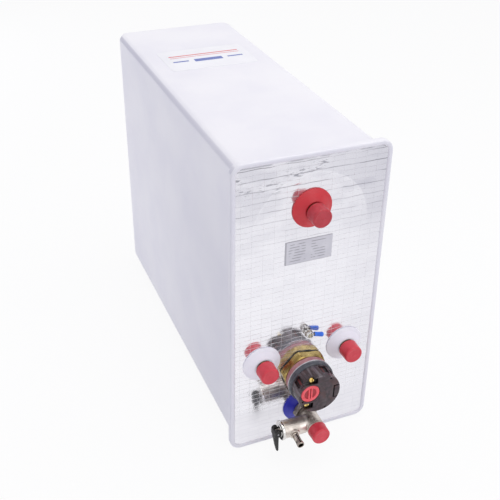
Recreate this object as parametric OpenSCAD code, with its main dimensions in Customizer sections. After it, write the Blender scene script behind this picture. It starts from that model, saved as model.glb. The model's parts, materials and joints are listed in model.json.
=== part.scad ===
// Storage water heater for a caravan: a steel tank in a foam-filled white casing, with an electric
// element and thermostat, a heat-exchanger coil and a safety valve on its foil-faced front.

/* [Casing] */
// Width of the casing behind its front flange
casing_w = 175.5; // [172:0.5:200]
// Height of the casing behind its front flange
casing_h = 385; // [380:1:420]
// Depth from the flange's front to the casing's rear
casing_depth = 490; // [450:1:540]
// Thickness of the casing's plastic
casing_wall = 3; // [2:0.25:4]
// Radius of the four long edges
casing_edge_r = 10; // [7:0.5:14]
// Radius of the rear's top and bottom edges
casing_rear_r = 12; // [8:0.5:26]
// Radius of the rear's two upright edges
casing_side_r = 20; // [14:0.5:40]
// How far the flange stands out around the casing
flange_lip = 7.5; // [7:0.5:12]
// Depth of the flange from front to back
flange_depth = 9; // [8:0.5:12]
// Radius of the flange's corners
flange_corner_r = 14; // [10:0.5:18]
// Width of the flange's front rim
rim_w = 6; // [5:0.5:7]
// Radius of the rim's rounded front edges
rim_r = 2.4; // [1:0.1:2.4]

/* [Insulation] */
// Thickness of the foil-faced front panel
panel_t = 4.6; // [4:0.1:5.2]
// Foam between the casing's long walls and the tank
foam_side = 14; // [8:0.5:16]
// Foam between the front panel and the tank
foam_front = 8; // [5:0.5:14]
// Foam between the tank and the casing's rear wall
foam_rear = 70; // [30:1:90]

/* [Tank] */
// Thickness of the tank's shell
tank_wall = 1.5; // [1:0.25:2.5]
// Thickness of the tank's end plates
tank_end_t = 2; // [1.5:0.25:3]

/* [Ports] */
// Outer diameter of the half-inch port threads
port_thread_d = 20.96; // [18:0.02:22]
// Diameter of the water way in the ports
port_bore_d = 13; // [10:0.5:14]
// How far a capped port stands in front of the panel
port_reach = 24.4; // [20:0.2:30]
// How far a port reaches into the tank
port_depth = 12; // [8:0.5:18]
// Hot outlet, measured down from the tank's top
hot_port_drop = 42.5; // [36:0.5:60]
// Coil ports, measured up from the tank's bottom
coil_port_rise = 105.5; // [102:0.5:112]
// Coil ports, measured in from the tank's side
coil_port_inset = 15.5; // [14:0.5:18]
// Cold inlet, measured up from the tank's bottom
cold_port_rise = 21; // [18:0.5:24]
// How far the cold inlet's thread stands in front of the panel
cold_port_reach = 13.4; // [12.4:0.2:18]
// Diameter of the coloured collars
collar_d = 48; // [40:0.5:49]
// Thickness of a collar at its hole
collar_t = 8.3; // [6:0.1:8.6]
// Thickness of a collar at its edge
collar_edge_t = 1.4; // [1:0.1:3]

/* [Caps] */
// Wall of the protective caps
cap_wall = 0.8; // [0.6:0.1:1.5]
// Thickness of a cap's closed end
cap_end_t = 2.7; // [1:0.1:4]
// Length of a cap on a tank port
cap_len = 17; // [13:0.5:18]
// Length of the cap on the safety valve
valve_cap_len = 14.5; // [11:0.5:16]

/* [Heat exchanger] */
// Outer diameter of the coil's tube
coil_tube_d = 15; // [13:0.5:16]
// Wall of the coil's tube
coil_tube_wall = 1; // [0.8:0.1:1.5]
// Height between one pass of the coil and the next
coil_pitch = 60; // [40:1:64]
// Room between the coil and the tank's rear
coil_rear_gap = 25; // [10:1:60]

/* [Heating element] */
// Element axis, measured up from the tank's bottom
element_rise = 80; // [79:0.5:82]
// Width across the flats of the hexagon head
element_hex = 55; // [50:0.5:56]
// Thickness of the hexagon head
element_hex_t = 10.6; // [8:0.2:14]
// Diameter of the head's thread
element_thread_d = 40; // [36:0.5:44]
// Outer diameter of the boss that takes the head
boss_d = 54; // [50:0.5:56]
// Thickness of the gasket under the head
gasket_t = 1.3; // [1:0.1:3]
// Diameter of the element's tube
element_tube_d = 8; // [6:0.5:9]
// Distance between the element's two legs
element_leg_pitch = 24; // [22:0.5:26]
// Length of the element behind its head
element_len = 250; // [150:1:280]

/* [Thermostat] */
// Diameter of the pink seal ring
seal_d = 56; // [52:0.5:57]
// Length of the seal ring
seal_len = 8; // [6:0.5:12]
// Thickness of the seal's base plate
base_t = 1.2; // [0.8:0.1:2]
// Diameter of the thermostat's rear ring
stat_ring_d = 58; // [56:0.5:60]
// Length of the thermostat's rear ring
stat_ring_len = 6.5; // [5:0.5:10]
// Diameter of the thermostat's front part
stat_front_d = 54; // [53.5:0.5:55]
// Length of the thermostat's front part
stat_front_len = 21.5; // [18.5:0.5:26]
// Diameter of the sensor rod
sensor_d = 7; // [5:0.5:7.5]
// Length of the sensor rod behind the thermostat
sensor_len = 200; // [120:1:240]
// Diameter of the temperature dial
dial_d = 24; // [20:0.5:24]
// Thickness of the temperature dial
dial_t = 4; // [3:0.25:5]
// How far the dial stands out of the thermostat's face
dial_proud = 0.3; // [0.1:0.1:1.5]
// Dial axis, measured left of the thermostat's axis
dial_left = 12.8; // [12.2:0.1:13]
// Dial axis, measured above the thermostat's axis
dial_up = 4.3; // [3.8:0.1:4.8]

/* [Safety valve] */
// Diameter of the valve's run
run_d = 23; // [22.5:0.25:26]
// Diameter of the relief barrel
barrel_d = 22.4; // [21:0.2:24]
// Length of the barrel, from the run's axis to its bonnet
barrel_len = 40; // [38:0.5:46]
// Distance from the tank-side socket's floor to the barrel's axis
barrel_offset = 18; // [17.5:0.25:22]
// Distance from the barrel's axis to the inlet thread's end
inlet_reach = 26; // [25:0.25:32]
// Outer diameter of the drain spout
spout_d = 9; // [8:0.5:10]
// Bore of the drain spout
spout_bore_d = 6.5; // [5:0.25:7]
// Drain spout, measured along the barrel from the run's axis
spout_offset = 28.5; // [28:0.25:29.5]
// Length of the drain spout from the barrel's axis
spout_reach = 30.5; // [26:0.5:34]
// Angle of the drain spout below the level
spout_tilt = 4; // [0:1:12]
// Diameter of the relief stem
stem_d = 6; // [5:0.25:7]
// Lift of the relief stem when the lever is raised
relief_lift = 2; // [1.5:0.25:2.5]
// Length of the lever below its pin
lever_len = 33; // [28:0.5:38]
// Opening travel of the check poppet
check_travel = 2.5; // [1.5:0.25:3]

/* [Earth terminal] */
// Diameter of the earth stud
earth_stud_d = 5; // [4:0.5:6]
// Earth stud, measured right of the element's axis
earth_right = 2.5; // [0:0.5:10]
// Earth stud, measured above the element's axis
earth_up = 59; // [54:0.5:64]
// Length of the blue sleeve
sleeve_len = 12.5; // [10:0.5:16]

/* [Labels] */
// Width of the rating plate
rating_w = 58.5; // [50:0.5:70]
// Height of the rating plate
rating_h = 30; // [24:0.5:32]
// Rating plate's centre, measured down from the hot outlet
rating_drop = 54; // [50:0.5:70]
// Rating plate's centre, measured left of the hot outlet
rating_left = 1; // [0:0.5:4]
// Width of the label on top
top_label_w = 122; // [80:1:130]
// Depth of the label on top
top_label_depth = 78; // [40:1:90]
// Top label's centre, measured from the casing's rear
top_label_inset = 152; // [110:1:220]
// Thickness of the labels
label_t = 0.3; // [0.2:0.05:0.5]

/* [Hidden] */
$fn = 64;

// Overshoot of a cutting shape past the face that it cuts
cut = 1;
// Gap between pieces that are welded, glued or pressed together
joint_gap = 0.05;
// Gap between pieces that only lie beside each other
seat_gap = 0.3;
// Radial clearance of a running fit
running_gap = 0.05;
// Radial room between a cap and the thread inside it
cap_gap = 0.62;
// Radial room between a female thread and its male thread
thread_gap = 0.12;
// Depth of the undercut behind a thread
undercut = 0.4;

// Casing and panel
flange_w = casing_w + 2 * flange_lip;
flange_h = casing_h + 2 * flange_lip;
mid_z = flange_h / 2;
ledge_y = flange_depth - casing_wall;
foil_y = ledge_y - panel_t;
opening_w = flange_w - 2 * rim_w;
opening_h = flange_h - 2 * rim_w;
opening_r = flange_corner_r - rim_w;
inner_w = casing_w - 2 * casing_wall;
inner_h = casing_h - 2 * casing_wall;
inner_y1 = casing_depth - casing_wall;

// Tank
tank_w = inner_w - 2 * foam_side;
tank_h = inner_h - 2 * foam_side;
tank_y0 = ledge_y + foam_front;
tank_y1 = inner_y1 - foam_rear;
tank_top = mid_z + tank_h / 2;
tank_bottom = mid_z - tank_h / 2;

// Ports
port_r = port_thread_d / 2;
port_shank_r = port_r - undercut;
port_y0 = foil_y - port_reach;
thread_y1 = foil_y - collar_t - seat_gap;
port_y1 = tank_y0 + tank_end_t + port_depth;
hot_z = tank_top - hot_port_drop;
coil_z = tank_bottom + coil_port_rise;
coil_x = tank_w / 2 - coil_port_inset;
cold_z = tank_bottom + cold_port_rise;
cold_y0 = foil_y - cold_port_reach;
cap_bore_r = port_r + cap_gap;
cap_r = cap_bore_r + cap_wall;
cap_rim_r = 1.2;

// Coil
coil_r = coil_tube_d / 2;
coil_passes = 3;
coil_front_gap = 18;
coil_bend_y = tank_y1 - tank_end_t - coil_rear_gap - coil_x - coil_r;
coil_turn_y = port_y1 + coil_front_gap + coil_pitch / 2 + coil_r;
pickup_bend_r = 18;
pickup_top_gap = 6;

// Heating element
element_z = tank_bottom + element_rise;
head_y1 = foil_y - gasket_t;
head_y0 = head_y1 - element_hex_t;
shank_y1 = tank_y0 + tank_end_t + 6;
element_leg_x = element_leg_pitch / 2;
element_hex_turn = 12;
hex_corner_r = element_hex / 2 / cos(30);
hex_chamfer = 1.6;
element_pin_len = 4;
pocket_wall = 0.8;
pocket_r = sensor_d / 2 + running_gap + pocket_wall;

// Thermostat
seal_y0 = head_y0 - seal_len;
seal_wall = 5;
base_y0 = seal_y0 - base_t;
ring_y0 = base_y0 - stat_ring_len;
stat_y0 = ring_y0 - stat_front_len;
dial_x = -dial_left;
dial_z = element_z + dial_up;
dial_y0 = stat_y0 - dial_proud;
dial_recess_gap = 0.5;
dial_r = dial_d / 2;
spindle_r = 3;
spindle_len = 12;
pocket_depth = 5.2;
terminal_a = [-10.5, element_z + 21.5];
terminal_b = [-15.3, element_z - 14.8];
terminal_pocket_w = 17;
terminal_pocket_h = 7.5;
terminal_head_r = 2.8;
terminal_head_t = 2.2;
terminal_shank_r = 1.6;
terminal_shank_len = 7;
// Angles of the windows round the thermostat's side, and their size
window_turns = [147, 68, 40];
window_w = 8;
window_len = 12;
window_depth = 2.5;
// Blind holes in the thermostat's face, measured from its axis
face_holes = [[13.5, 20], [8, -22.5], [-22.5, -6]];
face_hole_r = 0.9;
// Groove beside the right edge of the thermostat's face
groove_x = 18.2;
groove_up = 8;
groove_down = 11;
groove_w = 1.2;
groove_depth = 1.6;

// Safety valve
washer_t = 1.5;
socket_floor_y = cold_y0 - washer_t;
socket_bore_r = port_r + thread_gap;
socket_r = socket_bore_r + 3;
socket_mouth_y = foil_y - collar_t - seat_gap;
barrel_y = socket_floor_y - barrel_offset;
run_y0 = barrel_y - inlet_reach;
run_r = run_d / 2;
run_shoulder_y = barrel_y - barrel_d / 2 - 0.3;
run_bore_r = 7;
check_seat_len = 9;
check_seat_y = run_y0 + check_seat_len;
check_seat_bore_r = 4.5;
barrel_r = barrel_d / 2;
cavity_r = barrel_r - 2.7;
relief_seat_x = -16;
relief_seat_bore_r = 3.5;
bonnet_plug_len = 4;
bonnet_ring_len = 3.7;
bonnet_ring_r = barrel_r + 1.3;
bonnet_x = -barrel_len - bonnet_ring_len;
stem_r = stem_d / 2;
relief_disc_r = cavity_r - 1;
relief_disc_t = 1.8;
relief_seal_r = 5.5;
relief_seal_t = 2;
relief_face_gap = 0.1;
relief_disc_x1 = relief_seat_x - relief_face_gap - relief_seal_t;
relief_disc_x0 = relief_disc_x1 - relief_disc_t;
pin_x = bonnet_x - 4.2;
pin_r = 1.2;
tongue_t = stem_d * 2 / 3;
tongue_r = stem_r * 0.73;
spout_x = -spout_offset;
spout_r = spout_d / 2;
spout_root_r = spout_r - undercut;
spout_root = cavity_r + 0.5;
spout_boss_r = spout_r + 2;
spout_boss = barrel_r + 1.5;
spout_front_y = barrel_y - spout_reach * cos(spout_tilt) - spout_r * sin(spout_tilt);

// Relief lever
lever_cheek_t = 4.5;
lever_gap = tongue_t / 2 + seat_gap;
lever_half_w = lever_gap + lever_cheek_t;
lever_cheek_drop = 4.5;
lever_neck_half_w = 3.5;
lever_tip_half_w = 1.8;
lever_tip_t = 3;
lever_swing = 90;
cam_start = bonnet_x - pin_x - seat_gap;
cam_rate = relief_lift / lever_swing;
cam_slope = cam_rate * 180 / PI;
cam_top = cam_start + relief_lift;
lever_back = 4.2;
// Where the stem's rod ends and its tongue starts, clear of the lever's cam at the end of its swing
tongue_x1 = pin_x + cam_top + seat_gap;

// Springs
wire_r = 0.7;
relief_coil_r = cavity_r - wire_r - 0.8;
relief_turns = 5;
check_wire_r = 0.35;
check_coil_r = 3.2;
check_turns = 3;
helix_steps = 24;
helix_sides = 6;

// Check valve
poppet_r = 5.8;
poppet_t = 2;
poppet_face_gap = 0.1;
poppet_y0 = check_seat_y + poppet_face_gap;
poppet_stem_r = 1.5;
guide_y0 = poppet_y0 + poppet_t + check_travel + 4.5;
guide_t = 2;
guide_hub_r = 2.8;
guide_ring_w = 1.4;
guide_spoke_w = 1.4;
guide_spoke_in = 0.3;
poppet_stem_y1 = guide_y0 + guide_t + 0.5;

// Earth terminal
earth_x = earth_right;
earth_z = element_z + earth_up;
earth_r = earth_stud_d / 2;
earth_washer_t = 1;
earth_washer_r = earth_r + 2.5;
earth_nut_t = 4;
earth_nut_flats = earth_stud_d + 3;
earth_ring_t = 1;
earth_ring_y1 = foil_y - 2 * earth_washer_t - earth_nut_t;
earth_y0 = earth_ring_y1 - earth_ring_t - earth_nut_t - 0.8;
earth_ring_r = earth_r + 2.6;
earth_droop = 18;
sleeve_start = 7.2;
sleeve_r = 2.9;
crimp_r = 2;

// Front-most point of the part, and the flange's place with the part's box centred on the origin
front_reach = min(cap_front(run_y0), spout_front_y, dial_y0);
front_y = -(casing_depth + front_reach) / 2;

// Outer end of a cap on a thread that ends at y
function cap_front(y) = y - seat_gap - cap_end_t;

// Support distance of the lever's cam at an angle from the pin towards the bonnet
function cam_reach(a) = cam_start + cam_rate * a;
function cam_point(a) = [
    cam_reach(a) * cos(a) - cam_slope * sin(a),
    cam_reach(a) * sin(a) + cam_slope * cos(a)
];

// Points, rings and faces of a round wire wound on a helix about the X axis
function helix_centre(r, pitch, a) = [pitch * a / 360, r * cos(a), r * sin(a)];
function helix_ring(r, pitch, wire, a) =
    let (
        lead = pitch / (2 * PI * r),
        n = sqrt(1 + lead * lead),
        out = [0, cos(a), sin(a)],
        along = [lead / n, -sin(a) / n, cos(a) / n],
        across = cross(along, out)
    )
    [for (i = [0:helix_sides - 1])
        let (b = 360 * i / helix_sides)
        helix_centre(r, pitch, a) + wire * (cos(b) * out + sin(b) * across)];

// The wire's least gap to its own next turn, measured from one centre point to those of that turn
function helix_gap(r, pitch, wire) =
    min([for (a = [180:360 / helix_steps:540])
        norm(helix_centre(r, pitch, a) - helix_centre(r, pitch, 0))]) - 2 * wire;

// Children stand in a frame whose zero in Y is the flange's front plane
module in_place() {
    translate([0, front_y, 0]) children();
}

// Solid rod along Y
module rod_y(x, z, y0, y1, r) {
    translate([x, y0, z]) rotate([-90, 0, 0]) cylinder(h = y1 - y0, r = r);
}

// Solid rod along X
module rod_x(y, z, x0, x1, r) {
    translate([x0, y, z]) rotate([0, 90, 0]) cylinder(h = x1 - x0, r = r);
}

// Tube along Y
module tube_y(x, z, y0, y1, r_out, r_in) {
    difference() {
        rod_y(x, z, y0, y1, r_out);
        rod_y(x, z, y0 - cut, y1 + cut, r_in);
    }
}

// Hexagonal rod along Y, with its flats this far apart
module hex_y(x, z, y0, y1, flats, turn = 0) {
    translate([x, y0, z]) rotate([-90, 0, 0]) rotate(turn)
        cylinder(h = y1 - y0, r = flats / 2 / cos(30), $fn = 6);
}

// Upright 2D outline given thickness along Y, centred at the casing's mid height
module slab(y0, y1) {
    translate([0, y1, mid_z]) rotate([90, 0, 0]) linear_extrude(y1 - y0) children();
}

module rounded_rect(w, h, r) {
    square([w - 2 * r, h], center = true);
    square([w, h - 2 * r], center = true);
    for (x = [-1, 1], y = [-1, 1])
        translate([x * (w / 2 - r), y * (h / 2 - r)]) circle(r);
}

module obround(w, h) {
    square([w, h - w], center = true);
    for (y = [-1, 1]) translate([0, y * (h - w) / 2]) circle(w / 2);
}

// Outline from y0 to y1 with only its two rear corners rounded
module rear_rounded(w, y0, y1, r) {
    translate([-w / 2, y0]) square([w, y1 - y0 - r]);
    translate([-w / 2 + r, y0]) square([w - 2 * r, y1 - y0]);
    for (x = [-1, 1]) translate([x * (w / 2 - r), y1 - r]) circle(r);
}

// Section of the rim, rounded at its front, with its inner edge this far from the axis
module rim_section(inner) {
    translate([inner + rim_r, 0]) square([rim_w - 2 * rim_r, flange_depth]);
    translate([inner, rim_r]) square([rim_w, flange_depth - rim_r]);
    for (x = [rim_r, rim_w - rim_r]) translate([inner + x, rim_r]) circle(rim_r);
}

// The rim's section carried round the opening
module rim() {
    for (side = [-1, 1]) {
        translate([side * opening_w / 2, 0, flange_corner_r]) mirror([side < 0 ? 1 : 0, 0, 0])
            linear_extrude(flange_h - 2 * flange_corner_r) rim_section(0);
        translate([0, 0, mid_z + side * opening_h / 2]) mirror([0, 0, side < 0 ? 1 : 0])
            translate([-flange_w / 2 + flange_corner_r, 0, 0]) rotate([90, 0, 90])
            linear_extrude(flange_w - 2 * flange_corner_r) mirror([1, -1]) rim_section(0);
        for (end = [-1, 1])
            translate([side * (flange_w / 2 - flange_corner_r), 0,
                       mid_z + end * (flange_h / 2 - flange_corner_r)])
            mirror([side < 0 ? 1 : 0, 0, 0]) mirror([0, 0, end < 0 ? 1 : 0])
            rotate([-90, 0, 0]) mirror([0, 1, 0]) rotate_extrude(angle = 90) rim_section(opening_r);
    }
}

// Box with rounded long edges and rounded rear edges, its upright ones by a radius of their own
module casing_block(w, h, edge_r, rear_r, side_r, y0, y1) {
    intersection() {
        slab(y0, y1) rounded_rect(w, h, edge_r);
        translate([0, 0, mid_z - h / 2 - cut]) linear_extrude(h + 2 * cut)
            rear_rounded(w, y0 - cut, y1, side_r);
        translate([-w / 2 - cut, 0, mid_z]) rotate([90, 0, 90]) linear_extrude(w + 2 * cut)
            mirror([1, -1]) rear_rounded(h, y0 - cut, y1, rear_r);
    }
}

// Bent tube in the XY plane, from the X axis through an angle
module bend(bend_r, r_out, r_in, angle) {
    rotate_extrude(angle = angle) translate([bend_r, 0]) difference() {
        circle(r_out);
        circle(r_in);
    }
}

// Round wire wound about the X axis, from x0 to x1 at its wire's centre
module coil_spring(x0, x1, r, wire, turns) {
    pitch = (x1 - x0) / turns;
    last = turns * helix_steps;
    points = [for (i = [0:last]) each helix_ring(r, pitch, wire, 360 * i / helix_steps)];
    sides = [for (i = [0:last - 1], k = [0:helix_sides - 1])
        let (a = i * helix_sides + k, b = i * helix_sides + (k + 1) % helix_sides)
        each [[a, a + helix_sides, b], [b, a + helix_sides, b + helix_sides]]];
    first_end = [for (k = [1:helix_sides - 2]) [0, k, k + 1]];
    tail = last * helix_sides;
    last_end = [for (k = [1:helix_sides - 2]) [tail, tail + k + 1, tail + k]];
    echo(least_gap_between_turns = helix_gap(r, pitch, wire));
    translate([x0, 0, 0]) polyhedron(points = points, faces = concat(sides, first_end, last_end));
}

// Holes for everything that passes through the front, each this much wider than what passes
module front_holes(y0, y1, gap) {
    rod_y(0, hot_z, y0, y1, port_shank_r + gap);
    rod_y(0, cold_z, y0, y1, port_shank_r + gap);
    for (side = [-1, 1]) rod_y(side * coil_x, coil_z, y0, y1, port_shank_r + gap);
}

// Casing and insulation

module outer_casing() {
    color("white") in_place() difference() {
        union() {
            rim();
            slab(ledge_y, flange_depth) rounded_rect(flange_w, flange_h, flange_corner_r);
            casing_block(casing_w, casing_h, casing_edge_r, casing_rear_r, casing_side_r,
                         flange_depth - casing_wall / 2, casing_depth);
        }
        casing_block(inner_w, inner_h, casing_edge_r - casing_wall, casing_rear_r - casing_wall,
                     casing_side_r - casing_wall, -cut, inner_y1);
    }
}

module front_panel() {
    color("lightgray") in_place() difference() {
        slab(foil_y, ledge_y)
            rounded_rect(opening_w - 2 * seat_gap, opening_h - 2 * seat_gap, opening_r - seat_gap);
        front_holes(foil_y - cut, ledge_y + cut, seat_gap);
        rod_y(0, element_z, foil_y - cut, ledge_y + cut, boss_d / 2 + seat_gap);
        rod_y(earth_x, earth_z, foil_y - cut, ledge_y + cut, earth_r + seat_gap);
    }
}

module foam_insulation() {
    color("wheat") in_place() difference() {
        casing_block(inner_w - 2 * seat_gap, inner_h - 2 * seat_gap,
                     casing_edge_r - casing_wall - seat_gap, casing_rear_r - casing_wall - seat_gap,
                     casing_side_r - casing_wall - seat_gap, ledge_y + seat_gap, inner_y1 - seat_gap);
        slab(tank_y0 - seat_gap, tank_y1 + seat_gap)
            obround(tank_w + 2 * seat_gap, tank_h + 2 * seat_gap);
        front_holes(ledge_y - cut, tank_y0 + cut, seat_gap);
        rod_y(0, element_z, ledge_y - cut, tank_y0 + cut, boss_d / 2 + seat_gap);
        rod_y(earth_x, earth_z, ledge_y - cut, tank_y0 + cut, earth_r + seat_gap);
    }
}

// Tank

module tank_shell() {
    color("silver") in_place() difference() {
        slab(tank_y0, tank_y1) obround(tank_w, tank_h);
        slab(tank_y0 - cut, tank_y1 + cut) obround(tank_w - 2 * tank_wall, tank_h - 2 * tank_wall);
    }
}

module tank_end(y0) {
    slab(y0, y0 + tank_end_t) obround(tank_w - 2 * (tank_wall + joint_gap),
                                      tank_h - 2 * (tank_wall + joint_gap));
}

module tank_front_end() {
    color("silver") in_place() difference() {
        tank_end(tank_y0);
        front_holes(tank_y0 - cut, tank_y0 + tank_end_t + cut, joint_gap);
        rod_y(0, element_z, tank_y0 - cut, tank_y0 + tank_end_t + cut,
              element_thread_d / 2 + seat_gap);
    }
}

module tank_rear_end() {
    color("silver") in_place() tank_end(tank_y1 - tank_end_t);
}

// Ports, collars and caps

// Stub with its thread from y0 to the collar, and a socket at its tank end for a tube
module port_stub(x, z, y0) {
    difference() {
        union() {
            rod_y(x, z, y0, thread_y1, port_r);
            rod_y(x, z, thread_y1 - cut, port_y1, port_shank_r);
        }
        rod_y(x, z, y0 - cut, port_y1 + cut, port_bore_d / 2);
        rod_y(x, z, tank_y0 + tank_end_t, port_y1 + cut, coil_r + joint_gap);
    }
}

// Cone that marks a port, with a flat land round its hole over the shank
module collar(x, z) {
    land_r = port_r + 1.5;
    translate([x, foil_y, z]) rotate([90, 0, 0]) rotate_extrude() polygon([
        [port_shank_r + joint_gap, 0],
        [collar_d / 2, 0],
        [collar_d / 2, collar_edge_t],
        [land_r, collar_t],
        [port_shank_r + joint_gap, collar_t]
    ]);
}

// Push-on cap over a thread that ends at y0
module protective_cap(x, z, y0, len) {
    translate([x, cap_front(y0), z]) rotate([-90, 0, 0]) rotate_extrude() difference() {
        union() {
            translate([0, cap_rim_r]) square([cap_r, len - cap_rim_r]);
            square([cap_r - cap_rim_r, len]);
            intersection() {
                translate([cap_r - cap_rim_r, cap_rim_r]) circle(cap_rim_r);
                square([cap_r + cut, len]);
            }
        }
        translate([0, cap_end_t]) square([cap_bore_r, len]);
    }
}

module hot_outlet_stub() {
    color("goldenrod") in_place() port_stub(0, hot_z, port_y0);
}

module hot_pickup_elbow() {
    start_y = tank_y0 + tank_end_t + joint_gap;
    rise = tank_top - tank_wall - pickup_top_gap - hot_z - pickup_bend_r;
    inner_r = coil_r - coil_tube_wall;
    color("silver") in_place() {
        tube_y(0, hot_z, start_y, port_y1 + cut, coil_r, inner_r);
        translate([0, port_y1 + cut, hot_z + pickup_bend_r]) rotate([0, 90, 0])
            bend(pickup_bend_r, coil_r, inner_r, 90);
        translate([0, port_y1 + cut + pickup_bend_r, hot_z + pickup_bend_r]) difference() {
            cylinder(h = rise, r = coil_r);
            translate([0, 0, -cut]) cylinder(h = rise + 2 * cut, r = inner_r);
        }
    }
}

module hot_collar() {
    color("crimson") in_place() collar(0, hot_z);
}

module hot_cap() {
    color("red") in_place() protective_cap(0, hot_z, port_y0, cap_len);
}

module left_coil_stub() {
    color("goldenrod") in_place() port_stub(-coil_x, coil_z, port_y0);
}

module left_coil_collar() {
    color("whitesmoke") in_place() collar(-coil_x, coil_z);
}

module left_coil_cap() {
    color("red") in_place() protective_cap(-coil_x, coil_z, port_y0, cap_len);
}

module right_coil_stub() {
    color("goldenrod") in_place() port_stub(coil_x, coil_z, port_y0);
}

module right_coil_collar() {
    color("whitesmoke") in_place() collar(coil_x, coil_z);
}

module right_coil_cap() {
    color("red") in_place() protective_cap(coil_x, coil_z, port_y0, cap_len);
}

// Three passes up each side of the tank, joined across the tank at the rear of the top pass
module heat_exchanger_coil() {
    inner_r = coil_r - coil_tube_wall;
    color("silver") in_place() {
        for (side = [-1, 1]) translate([side * coil_x, 0, coil_z]) {
            tube_y(0, 0, tank_y0 + tank_end_t + joint_gap, coil_bend_y, coil_r, inner_r);
            for (pass = [1:coil_passes - 1])
                tube_y(0, pass * coil_pitch, coil_turn_y, coil_bend_y, coil_r, inner_r);
            translate([0, coil_bend_y, coil_pitch / 2]) rotate([0, 90, 0])
                bend(coil_pitch / 2, coil_r, inner_r, 180);
            translate([0, coil_turn_y, coil_pitch * 3 / 2]) mirror([0, 1, 0]) rotate([0, 90, 0])
                bend(coil_pitch / 2, coil_r, inner_r, 180);
        }
        translate([0, coil_bend_y, coil_z + (coil_passes - 1) * coil_pitch]) rotate([0, 180, 0])
            bend(coil_x, coil_r, inner_r, 180);
    }
}

module cold_inlet_stub() {
    color("goldenrod") in_place() port_stub(0, cold_z, cold_y0);
}

module cold_collar() {
    color("navy") in_place() collar(0, cold_z);
}

// Closed tube with side windows that spreads the incoming water low in the tank
module cold_diffuser() {
    len = 60;
    window_w = 6;
    window_len = 24;
    start_y = tank_y0 + tank_end_t + joint_gap;
    color("silver") in_place() difference() {
        rod_y(0, cold_z, start_y, port_y1 + len, coil_r);
        rod_y(0, cold_z, start_y - cut, port_y1 + len - coil_tube_wall, coil_r - coil_tube_wall);
        translate([-coil_r - cut, port_y1 + len / 2 - window_len / 2, cold_z - window_w / 2])
            cube([2 * coil_r + 2 * cut, window_len, window_w]);
    }
}

// Heating element

module element_boss() {
    color("silver") in_place()
        tube_y(0, element_z, foil_y, tank_y0, boss_d / 2, element_thread_d / 2 + thread_gap);
}

module element_gasket() {
    color("black") in_place()
        tube_y(0, element_z, head_y1, foil_y, element_hex / 2 + 1, element_thread_d / 2 + thread_gap);
}

module element_head() {
    color("goldenrod") in_place() difference() {
        union() {
            intersection() {
                hex_y(0, element_z, head_y0, head_y1, element_hex, element_hex_turn);
                translate([0, head_y1, element_z]) rotate([90, 0, 0]) rotate_extrude() polygon([
                    [0, 0],
                    [hex_corner_r, 0],
                    [hex_corner_r, element_hex_t - hex_chamfer],
                    [hex_corner_r - 2 * hex_chamfer, element_hex_t],
                    [0, element_hex_t]
                ]);
            }
            rod_y(0, element_z, head_y1 - cut, shank_y1, element_thread_d / 2);
        }
        for (side = [-1, 1])
            rod_y(side * element_leg_x, element_z, head_y0 - cut, shank_y1 + cut,
                  element_tube_d / 2 + joint_gap);
        rod_y(0, element_z, head_y0 - cut, shank_y1 + cut, pocket_r + joint_gap);
    }
}

module element_loop() {
    rear_y = shank_y1 + element_len - element_leg_x;
    color("dimgray") in_place() {
        for (side = [-1, 1])
            rod_y(side * element_leg_x, element_z, head_y0 - element_pin_len, rear_y,
                  element_tube_d / 2);
        translate([0, rear_y, element_z]) rotate_extrude(angle = 180)
            translate([element_leg_x, 0]) circle(element_tube_d / 2);
    }
}

module sensor_pocket() {
    end_y = base_y0 + sensor_len + pocket_wall + cut;
    color("silver") in_place() difference() {
        rod_y(0, element_z, head_y0 - cut, end_y, pocket_r);
        rod_y(0, element_z, head_y0 - 2 * cut, end_y - pocket_wall, sensor_d / 2 + running_gap);
    }
}

// Thermostat

module thermostat_sensor() {
    color("silver") in_place()
        rod_y(0, element_z, ring_y0, base_y0 + sensor_len, sensor_d / 2);
}

module thermostat_seal() {
    color("lightcoral") in_place()
        tube_y(0, element_z, seal_y0, head_y0, seal_d / 2, seal_d / 2 - seal_wall);
}

module thermostat_base() {
    color("lightgray") in_place()
        tube_y(0, element_z, base_y0, seal_y0, stat_ring_d / 2, sensor_d / 2 + seat_gap);
}

// Notch at the rim of the thermostat's face, where a wire reaches its screw
module terminal_pocket(at) {
    translate([at[0] - terminal_pocket_w + terminal_head_r * 2, stat_y0 - cut,
               at[1] - terminal_pocket_h / 2])
        cube([terminal_pocket_w, pocket_depth + cut, terminal_pocket_h]);
}

// Shallow window in the thermostat's side
module side_window(turn) {
    translate([0, ring_y0 - window_w / 4, element_z]) rotate([0, -turn, 0])
        translate([stat_front_d / 2 - window_depth, -window_len, -window_w / 2])
        cube([stat_front_d, window_len, window_w]);
}

// Groove that sets off the right edge of the thermostat's face
module face_groove() {
    translate([groove_x, stat_y0 - cut, element_z - groove_down])
        cube([groove_w, groove_depth + cut, groove_down + groove_up]);
    translate([groove_x, stat_y0 - cut, element_z + groove_up - groove_w])
        cube([stat_front_d, groove_depth + cut, groove_w]);
}

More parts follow.
